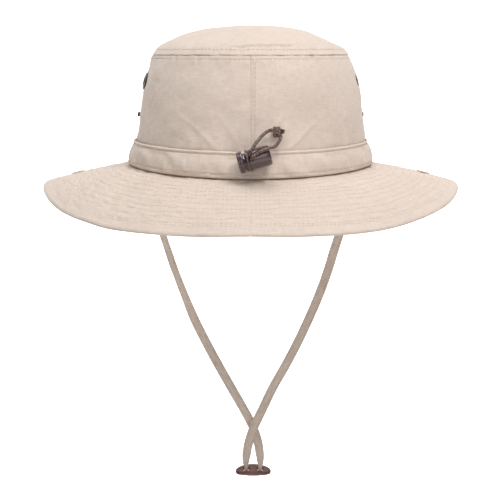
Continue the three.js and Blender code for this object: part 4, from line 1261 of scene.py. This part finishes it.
knot = joined("cord_knot", knot_parts)
place(knot, "cord_lock", ELASTIC, "elastic_cord", ["drawcord_knot"])
for strand_name, route in (("left", STRAND_LEFT), ("right", STRAND_RIGHT)):
    path, at = resample(np.array(route) * MM, 0.25 * MM)
    strand = tube(f"free_strand_{strand_name}", path, CORD_RADIUS, 28, relief=braid)
    place(strand, "hat", ELASTIC, "elastic_cord", [f"drawcord_strand_{strand_name}"], STRAND_BLEND)

# --- cord lock
LOCK_TILT = math.radians(15)
LOCK_ROLL = math.radians(18)


def rotation(axis, angle):
    c, s = math.cos(angle), math.sin(angle)
    made = np.eye(4)
    i, j = {"X": (1, 2), "Y": (2, 0)}[axis]
    made[i, i] = made[j, j] = c
    made[i, j], made[j, i] = -s, s
    return made


lock_frame = rotation("Y", -LOCK_TILT) @ rotation("X", -LOCK_ROLL)
lock_frame[:3, 3] = LOCK_CENTRE
lock_spin = lock_frame @ rotation("Y", math.pi / 2)
CORD_SLOT_MIDDLE = -1.9
CORD_SLOT_HALF_WIDTH = 1.45
CORD_SLOT_HALF_HEIGHT = 2.8
PINCH = CORD_SLOT_MIDDLE + CORD_SLOT_HALF_WIDTH


def stadium(low, high, half_height):
    """A slot outline with rounded ends, taller than it is wide."""
    r = (high - low) / 2
    middle = (high + low) / 2
    angle = np.linspace(0, math.pi, 16)
    top = np.stack([middle + r * np.cos(angle), half_height - r + r * np.sin(angle)], -1)
    return np.concatenate([top, -top + (2 * middle, 0)]) * MM


BARREL = [
    (0.02, 9.6), (5.2, 9.6), (5.6, 9.2), (5.6, -5.4), (6.95, -5.4), (7.27, -5.25), (7.4, -4.95), (7.4, -4.35),
    (7.27, -4.05), (6.95, -3.9), (6.72, -3.78), (6.72, -3.55), (6.95, -3.3), (7.02, -2.6), (7.08, 0), (7.12, 4),
    (7.1, 8.0), (7.02, 9.4), (6.8, 10.3), (6.4, 10.9), (5.8, 11.25), (5.0, 11.38), (0.02, 11.4)]
PLUNGER = [
    (0.02, -11.1), (3.5, -11.15), (4.8, -11.35), (6.2, -11.4), (6.95, -11.2), (7.3, -10.8), (7.4, -10.3),
    (7.4, -9.75), (7.25, -9.6), (6.9, -9.45), (7.25, -9.3), (7.4, -9.15), (7.4, -8.1), (7.3, -7.7), (7.0, -7.5), (5.6, -7.5),
    (5.25, -7.3), (5.25, 3.9), (4.95, 4.2), (0.02, 4.2)]
def lock_body(name, outline, low, high, node, body):
    """One turned part of the cord lock, with the slot that the cords go through."""
    made = lathe(name, rounded(np.array(outline) * MM, 0.12 * MM), 96, lock_spin)
    slot = stadium(low, high, CORD_SLOT_HALF_HEIGHT)
    cut(made, [prism("slot", slot, -0.02, 0.02, lock_frame)])
    place(made, body, PLASTIC, "lock_plastic", [node])


lock_body("lock_barrel", BARREL, CORD_SLOT_MIDDLE - CORD_SLOT_HALF_WIDTH, PINCH, "cord_lock_barrel", "cord_lock")
lock_body("lock_plunger", PLUNGER, PINCH - 4.5, PINCH, "cord_lock_plunger", "lock_plunger")
coil_turn = np.linspace(0, 1, 160)
coil_angle = 2 * math.pi * 2.5 * coil_turn
coil = np.stack([4.85 + 4.1 * coil_turn, 3.6 * np.cos(coil_angle), 3.6 * np.sin(coil_angle)], -1) * MM
spring = tube("lock_spring", moved(coil, lock_frame), 0.35 * MM, 12)
place(spring, "cord_lock", SPRING_WIRE, "spring_steel", ["cord_lock_spring"])

# --- chin strap and slider
FULL = (7.0, 1.4)
GATHERED = (2.9, 2.4)
BIGHT = (3.0, 1.9)
STRAP_STATIONS = [
    ((-85.4, 0, -1.5), FULL, 0), ((-83.9, 0, -8), FULL, 5), ((-79.6, 0, -20), FULL, 20), ((-74.0, 0, -35), FULL, 35),
    ((-68.6, 0, -50), FULL, 45), ((-63.0, 0.2, -67), FULL, 50), ((-57.0, 0.4, -85), FULL, 55),
    ((-49.8, 0.6, -104), FULL, 65), ((-43.0, 0.9, -121), FULL, 85), ((-34.8, 1.3, -138), FULL, 90),
    ((-25.5, 1.7, -156), FULL, 90), ((-15.6, 2.0, -174), FULL, 90), ((-5.8, 2.0, -191.5), FULL, 90),
    ((1.6, 1.7, -206), FULL, 90), ((5.6, 1.1, -218), FULL, 90), ((7.2, 0.5, -228), (6.6, 1.5), 90),
    ((7.6, 0.1, -234), (5.0, 1.9), 90), ((7.4, 0, -238.0), GATHERED, 90), ((7.4, 0, -241.0), GATHERED, 90),
    ((6.5, 0, -243.2), (3.3, 2.4), 90), ((4.3, 0, -243.6), BIGHT, 90), ((2.0, 0, -243.7), BIGHT, 90),
    ((-0.3, 0, -243.6), BIGHT, 90), ((-2.5, 0, -243.2), (3.3, 2.4), 90), ((-3.4, 0, -241.0), GATHERED, 90),
    ((-3.4, 0, -238.0), GATHERED, 90), ((-3.7, -0.1, -234), (5.0, 1.9), 90), ((-3.2, -0.5, -228), (6.6, 1.5), 90),
    ((-1.4, -1.1, -218), FULL, 90), ((2.4, -1.7, -206), FULL, 90),
    ((9.0, -2.0, -191.5), FULL, 90), ((17.2, -2.0, -174), FULL, 90), ((27.2, -1.7, -156), FULL, 90),
    ((36.4, -1.3, -138), FULL, 90), ((44.2, -0.9, -121), FULL, 90), ((51.4, -0.6, -104), FULL, 90),
    ((58.2, -0.4, -85), FULL, 88), ((63.6, -0.2, -67), FULL, 85), ((69.0, 0, -50), FULL, 75),
    ((74.2, 0, -35), FULL, 55), ((79.6, 0, -20), FULL, 30), ((83.9, 0, -8), FULL, 8), ((85.4, 0, -1.5), FULL, 0),
]
STRAP_ROW = 0.62  # where the edge stitching runs, as a share of the half width


def strap_shape():
    """The strap's centreline with its width, thickness, across and face directions at each point."""
    places = np.array([s[0] for s in STRAP_STATIONS], float) * MM
    path, at = resample(places, 0.6 * MM)
    chord = lengths_along(places)
    chord = chord * at[-1] / chord[-1]
    width, thick = (np.interp(at, chord, [s[1][k] for s in STRAP_STATIONS]) * MM for k in (0, 1))
    turn = np.radians(np.interp(at, chord, [s[2] for s in STRAP_STATIONS]))
    turn = turn + 0.10 * grain(120, at / 0.05) * step(at, 0.01, 0.05)
    along = unit(np.gradient(path, axis=0))
    fore = np.broadcast_to((0.0, 1.0, 0.0), path.shape)
    in_plane = unit(np.cross(fore, along))
    across = unit(fore * np.cos(turn)[:, None] + in_plane * np.sin(turn)[:, None])
    face = unit(np.cross(across, along))
    return path, at, width, thick, across, face


strap_path, strap_at, strap_width, strap_thick, strap_across, strap_face = strap_shape()


def strap_surface(share, face_sign):
    """Points of one face of the tape, share running from -1 to 1 across its width."""
    share = np.broadcast_to(share, (len(strap_path), np.shape(share)[-1]))
    loose = 1 - strap_width[:, None] / FULL[0] / MM
    fold = 0.55 * MM * loose * np.cos(3.2 * math.pi * share + 9 * strap_at[:, None] / 0.05)
    sag = 0.22 * MM * grain(121, strap_at[:, None] / 0.016, share * 0.8)
    edge = np.sqrt(np.clip(1 - np.abs(share) ** 6, 0, 1))
    pucker = grain(122, strap_at[:, None] / 0.0032, np.sign(share) * 2)
    seam = -0.16 * MM * bump(np.abs(share), STRAP_ROW, 0.07)
    seam = seam + 0.07 * MM * pucker * bump(np.abs(share), STRAP_ROW, 0.3)
    lift = face_sign * (strap_thick[:, None] / 2 * 0.92 + seam) * edge + fold * 0.5 + sag
    wide = share * (strap_width[:, None] / 2)
    return strap_path[:, None] + strap_across[:, None] * wide[..., None] + strap_face[:, None] * lift[..., None]


def make_strap():
    share = np.sin(np.linspace(-math.pi / 2, math.pi / 2, 21))[None, :]
    front = strap_surface(share, 1)
    back = strap_surface(share, -1)[:, ::-1][:, 1:-1]
    loop = np.concatenate([front, back], 1)
    rows, cols = loop.shape[:2]
    faces = [grid_faces(rows, cols, wrap_cols=True)] + end_faces(rows, cols)
    spread = np.concatenate([share[0], share[0][::-1][1:-1]]) * 0.0035
    uv = np.stack(np.broadcast_arrays(strap_at[:, None], spread[None, :]), -1)
    return faced_outward(new_object("strap_cloth", loop.reshape(-1, 3), faces, uv))


STRAP_BLEND = ("strap_slider", (0, 0, -0.020), (0, 0, -0.232))
strap = make_strap()
place(strap, "chin_strap", STRAP_TAPE, "strap_tape", ["chin_strap"], STRAP_BLEND)
strap_rows = []
for sign in (-1, 1):
    for share in (-STRAP_ROW, STRAP_ROW):
        path = strap_surface(np.array([[share]]), sign)[:, 0]
        strap_rows.append((path, strap_face * sign))
strap_sewn = stitches("strap_stitch", strap_rows, FINE_THREAD_RADIUS, stitch=2.3 * MM, gap=0.6 * MM)
place(strap_sewn, "chin_strap", THREAD_STRAP, "strap_tape", (), STRAP_BLEND)

for tab_name, centre in (("left", math.pi), ("right", 0.0)):
    reach = 0.0035 / (CROWN_ROOT_X + CROWN_LENGTHEN)
    tab = flat_ring(
        f"strap_tab_{tab_name}", np.linspace(centre - reach, centre + reach, 20), np.linspace(-0.001, 0.011, 30),
        -0.00165, 0.0009, lambda a, z: -0.05 * MM * bump(z, 0.008, 0.0006), ring=False)
    place(tab, "hat", STRAP_TAPE, "strap_tape", [f"chin_strap_end_{tab_name}"])

SLIDER_HALF_LENGTH = 0.01375
SLIDER_HALF_DEPTH = 0.0075
SLIDER_HALF_THICK = 0.0013
SLIDER_TILT = math.radians(14)
SLIDER_DROOP = 0.0012
SLIDER_HOLE_X = 0.0054
SLIDER_HOLE_RADIUS = 0.0027
SLIDER_WAIST = 1.26 * MM


def make_slider():
    rim = np.linspace(-math.pi / 2, math.pi / 2, 15)
    steps = np.linspace(0, 1, 26)[1:]
    share = 1 - 0.985 * np.concatenate([steps[::-1], 0 * rim, steps])
    inset = np.pad(0.0009 * (1 - np.cos(rim) ** 0.7), len(steps), mode="edge")
    height = np.sign(rim) * np.abs(np.sin(rim)) ** 0.75
    height = SLIDER_HALF_THICK * np.pad(height, len(steps), mode="edge")
    sides = 160
    x = ((SLIDER_HALF_LENGTH - inset) * share)[:, None] * np.cos(circle(sides))
    y = ((SLIDER_HALF_DEPTH - inset) * share)[:, None] * np.sin(circle(sides))
    z = np.broadcast_to(height[:, None], x.shape)
    z = z + 0.10 * MM * soft_noise(np.stack([x, y, z], -1), 0.006, 130, 2) * np.sign(z)
    faces = [grid_faces(len(share), sides, wrap_cols=True)] + end_faces(len(share), sides)
    made = faced_outward(new_object("leather_slider", np.stack([x, y, z], -1), faces))
    flare = np.linspace(0, math.pi / 2, 8)
    mouth = SLIDER_HOLE_RADIUS + 0.0005 * (1 - np.sin(flare))
    outline = [(SLIDER_HOLE_RADIUS + 0.0012, -0.004), (SLIDER_HOLE_RADIUS + 0.0008, -SLIDER_HALF_THICK)]
    outline += [(m, -SLIDER_HALF_THICK + 0.0005 * f / flare[-1]) for m, f in zip(mouth, flare)]
    outline += [(r, -h) for r, h in outline[::-1]]
    cutters = []
    for sign in (-1, 1):
        matrix = np.eye(4)
        matrix[0, 3] = sign * SLIDER_HOLE_X
        cutters.append(lathe("slider_hole", outline, 48, matrix))
    cut(made, cutters)
    bent = coordinates_of(made.data)
    reach = (bent[:, 0] / SLIDER_HALF_LENGTH) ** 2
    bent[:, 2] -= SLIDER_DROOP * reach
    bent[:, 1] += SLIDER_WAIST * np.clip(-bent[:, 1] / SLIDER_HALF_DEPTH, 0, 1) * (1 - reach)
    tilt = rotation("X", SLIDER_TILT)
    tilt[:3, 3] = SLIDER_CENTRE
    made.data.vertices.foreach_set("co", moved(bent, tilt).astype(np.float32).ravel())
    made.data.update()
    return made


place(make_slider(), "strap_slider", LEATHER, "slider_leather", ["strap_slider"])
